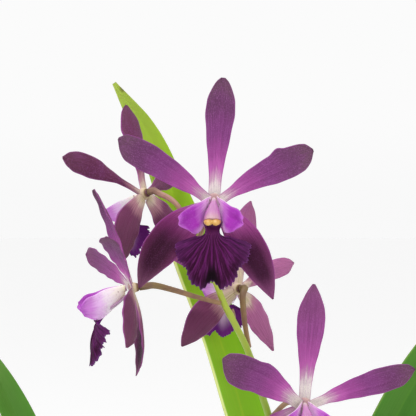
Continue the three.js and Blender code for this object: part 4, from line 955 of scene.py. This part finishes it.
velvet = Finish("lip_velvet")
velvet_streak = velvet.noise(velvet.lay, (24.0, 2.4, 1.0), 4.0, Roughness=0.65)
off_middle = velvet.sums("ABSOLUTE", velvet.across)
keel_tint_and_highlight = velvet.sums("COSINE", velvet.times(velvet.across, KEEL_PITCH))
velvet_body = velvet.ramp(velvet.along, (0.0, 112, 48, 98), (0.1, 88, 34, 76), (0.4, 70, 20, 60),
                          (0.85, 60, 12, 50), (1.0, 88, 36, 86))
velvet_face = velvet.coat(
    velvet_body, (velvet.window(off_middle, 0.4, 1.0, 0.0, 0.75), (106, 44, 106)),
    # Keel crests a lighter violet: partly the keels' own colour, partly a painted highlight on the ridges.
    (velvet.times(velvet.window(keel_tint_and_highlight, 0.2, 1.0), velvet.window(velvet.along, 1.0, 0.5, 0.0, 0.5)),
     (128, 38, 124)),
    (velvet.window(velvet_streak, 0.5, 0.66, 0.0, 0.6), (126, 48, 124)),
    (velvet.window(velvet_streak, 0.46, 0.34, 0.0, 0.7), (38, 6, 34)),
    (velvet.times(velvet.window(off_middle, 0.2, 0.04, 0.0, 0.95), velvet.window(velvet.along, 0.55, 0.85)),
     (14, 2, 10)),
    (velvet.window(velvet.along, 0.96, 1.0, 0.0, 0.5), (134, 78, 150)))
velvet_pale = velvet.times(velvet.window(off_middle, 0.75, 0.2, 0.0, 0.85),
                           velvet.window(velvet.along, 0.9, 0.35))
velvet_foot = velvet.window(velvet.along, 0.1, -0.05)
# The back: the lighter violet laid over 0.6 of it is painted light shining through the thin lip; the pale foot
# and middle are its own colour.
velvet_under = velvet.coat(velvet_face, (0.6, (136, 50, 156)),
                           (velvet.sums("MAXIMUM", velvet_pale, velvet_foot), (226, 196, 222)))
velvet_nap = velvet.bump(velvet.noise(velvet.place, 1800.0, 2.0), 0.35, 0.0002)
velvet.dress(
    velvet.coat(velvet_face, (velvet.window(velvet.along, -0.02, -0.16), (226, 176, 216)),
                (velvet.mark, velvet_under)),
    0.55, velvet.bump(velvet_streak, 0.6, 0.0009, Normal=velvet_nap), 0.06)

wing = Finish("side_lobe_skin")
wing_vein = wing.noise(wing.lay, (14.0, 2.0, 2.0), 3.0)
wing_reach = wing.sums("ADD", wing.along, wing.times(wing.sums("SUBTRACT", wing_vein, 0.5), 0.25))
wing_inner = wing.ramp(
    wing_reach, (0.0, 0.98, 0.74, 0.96, 1), (0.22, 0.94, 0.56, 0.94, 1), (0.44, 232, 134, 242),
    (0.62, 190, 62, 204), (0.86, 172, 50, 186), (1.0, 198, 98, 212))
wing_outer = wing.ramp(
    wing_reach, (0.0, 0.86, 0.82, 0.56, 1), (0.14, 0.94, 0.88, 0.78, 1), (0.4, 0.94, 0.84, 0.92, 1),
    (0.6, 0.86, 0.56, 0.92, 1), (0.8, 240, 158, 250), (1.0, 204, 108, 220))
wing_rim = wing.sums("ABSOLUTE", wing.sums("SUBTRACT", wing.across, 0.5))
wing_low = wing.times(wing.window(wing.across, 0.24, 0.02), wing.window(wing.along, 0.95, 0.4))
wing_dots = wing.times(wing.window(wing.noise(wing.place, 520.0, 1.0), 0.6, 0.66, 0.0, 0.8),
                       wing.window(wing.along, 0.24, 0.1))
wing.dress(
    wing.coat(wing_inner, (wing_low, (0.8, 0.5, 0.8, 1)),
              (wing.window(wing_rim, 0.42, 0.5, 0.0, 0.4), (204, 130, 214)), (wing.mark, wing_outer),
              (wing.window(wing.noise(wing.place, 1500.0, 2.0), 0.55, 0.72, 0.0, 0.25), (222, 160, 226)),
              (wing_dots, (150, 96, 60))),
    0.45, wing.bump(wing_vein, 0.3, 0.0004), 0.3, (0.15, 0.003, 0.0015, 0.003))

# Column and cap: the column is a waxy pink rod, arched over the lip and broad at its end,
# which a yellow cap of two small cushions closes. The pedicel is a ribbed brownish stalk.
COLUMN_PATH = [(0, 0.2, 2.3), (0, -1.3, 5.2), (0, -4.2, 9.6), (0, -7.9, 13.2)]
CAP_PATH, CAP_HALF_GAP = [(-8.25, 13.5), (-8.8, 14.1), (-9.4, 14.8), (-9.8, 15.2)], 1.6
PEDICEL_RADIUS, PEDICEL_SIDES = 1.25, 24
COLUMN_ROWS, CAP_ROWS, PEDICEL_ROWS = 40, 16, 60

waxy = Finish("column_wax")
waxy_body = waxy.ramp(waxy.along, (0.0, 236, 216, 214), (0.3, 220, 152, 208), (0.7, 212, 142, 198),
                      (1.0, 220, 172, 182))
waxy.dress(
    waxy.coat(waxy_body, (waxy.window(waxy.sums("ABSOLUTE", waxy.across), 0.55, 1.0, 0.0, 0.55), (190, 96, 186)),
              (waxy.window(waxy.noise(waxy.lay, (6.0, 3.0, 1.0), 3.0), 0.5, 0.7, 0.0, 0.3), (240, 214, 232))),
    0.35, depth=(0.2, 0.003, 0.0015, 0.002))

yolk = Finish("anther_wax")
yolk.dress(yolk.ramp(yolk.noise(yolk.place, 600.0, 3.0), (0.3, 222, 158, 76), (0.5, 239, 190, 100),
                     (0.7, 248, 216, 144)), 0.4)

brown = Finish("pedicel_skin")
brown_cloud = brown.noise(brown.place, 190.0, 4.0)
brown_pink = brown.ramp(brown.along, (0.0, 126, 104, 66), (0.12, 172, 134, 112), (0.5, 198, 146, 130),
                        (1.0, 190, 146, 112))
brown_gold = brown.ramp(brown.along, (0.0, 112, 92, 46), (0.15, 150, 124, 72), (0.6, 170, 132, 88),
                        (1.0, 180, 142, 96))
brown.dress(brown.coat(brown_gold, (brown.mark, brown_pink),
                       (brown.window(brown_cloud, 0.42, 0.66, 0.0, 0.6), (136, 96, 84))),
            0.5, brown.bump(brown_cloud, 0.2, 0.0004))


def placed(form, at, axes):
    """A form moved from the bloom's axes to its place on the plant."""
    points, *others = form
    return points @ axes + np.asarray(at, float), *others


hub_n = np.array([HUB_BACK, -2.6, -1.4, 0, 0.9, HUB_FRONT - 0.2])
hub_wide = HUB_RADIUS * np.array([0.5, 0.58, 0.7, 0.9, 0.9, 0.7])
hub = rod_form(np.stack([0 * hub_n, 0 * hub_n, hub_n], -1), hub_wide, sides=24, across=(1, 0, 0), tone=1.0,
               tip=0.06)
hub[2][:, 0] = 0.3
hub[2][:, 1] = np.clip((hub[0][:, 2] - HUB_BACK) / 22, 0, 0.2) - 0.04

t = np.linspace(0, 1, COLUMN_ROWS)
column_wide = width_at([(0, 0.95), (0.3, 1.5), (0.7, 3), (1, 3.7)], t)
column_high = width_at([(0, 1), (0.5, 1.6), (1, 1.5)], t)
column = rod_form(run_through(COLUMN_PATH, COLUMN_ROWS), column_wide, column_high, sides=32,
                  across=(1, 0, 0), tip=0.08)

t = np.linspace(0, 1, CAP_ROWS)
bulge = np.sqrt(np.maximum(0.1, 1 - 0.9 * t ** 2)) * np.minimum(1, 0.75 + 2 * t)
caps = [rod_form(run_through([(x, y, z) for y, z in CAP_PATH], CAP_ROWS), 2.0 * bulge, 1.3 * bulge, sides=20,
                 across=(1, 0, 0), tip=0.3) for x in (-CAP_HALF_GAP, CAP_HALF_GAP)]

pedicel_wide = PEDICEL_RADIUS * width_at([(0, 1.25), (0.35, 1.02), (1, 0.78)], np.linspace(0, 1, PEDICEL_ROWS))
pedicel_rib = 1 + 0.06 * np.cos(6 * np.linspace(0, 2 * np.pi, PEDICEL_SIDES, endpoint=False))[None, :, None]
for k, bloom in enumerate(BLOOMS, 1):
    at, axes = np.asarray(bloom["at"], float), bloom_axes(bloom["facing"])
    forms = [hub] + [
        tepal_form(numbers, kind.split("_")[0], 10 * k + j, bloom["pale"], bloom["pink_and_light"][j])
        for j, (kind, numbers) in enumerate(bloom["tepals"].items())]
    make_piece(f"bloom_{k}_tepals", [placed(form, at, axes) for form in forms], [tepal], [f"tepals_{k}"])

    *lip_turn, lip_size, fan_size = bloom["lip"]
    lip_axes = bloom_axes(bloom["facing"], lip_turn) * lip_size
    lip_at = at + LIP_PIVOT @ axes - LIP_PIVOT @ lip_axes
    for piece, forms, finishes, slot, stands_for in (
        ("lip", [fan_form(50 + k, fan_size), wing_form(False, 70 + k), wing_form(True, 90 + k)],
         [velvet, wing], "lip", "lip"),
        ("column", [column], [waxy], "column", "column"),
        ("cap", caps, [yolk], "anther", "anther_cap"),
    ):
        make_piece(f"bloom_{k}_{piece}", [placed(form, lip_at, lip_axes) for form in forms], finishes,
                   [f"{stands_for}_{k}"])

    heel = at + axes[2] * (HUB_BACK - GAP - 0.25)
    neck = heel - axes[2] * 2.5
    low = int(np.searchsorted(stem_line[:, 2], bloom["foot"]))
    stem_along = unit(stem_line[low + 1] - stem_line[low - 1])
    reach = unit(np.asarray(bloom["pedicel"][-1]) - stem_line[low])
    slant = abs(reach @ stem_along)
    reach = unit(reach - stem_along * (reach @ stem_along))
    foot = stem_line[low] + reach * (stem_wide[low] + 0.1 + 0.6 * slant)
    pedicel = rod_form(run_through([heel, neck, *bloom["pedicel"], foot], PEDICEL_ROWS), pedicel_wide,
                       sides=PEDICEL_SIDES, tone=bloom["stalk_pink"])
    ringed = pedicel[0][:-2].reshape(-1, PEDICEL_SIDES, 3)
    centre = ringed.mean(1, keepdims=True)
    pedicel[0][:-2] = (centre + (ringed - centre) * pedicel_rib).reshape(-1, 3)
    make_piece(f"bloom_{k}_pedicel", [pedicel], [brown], [f"pedicel_{k}"])
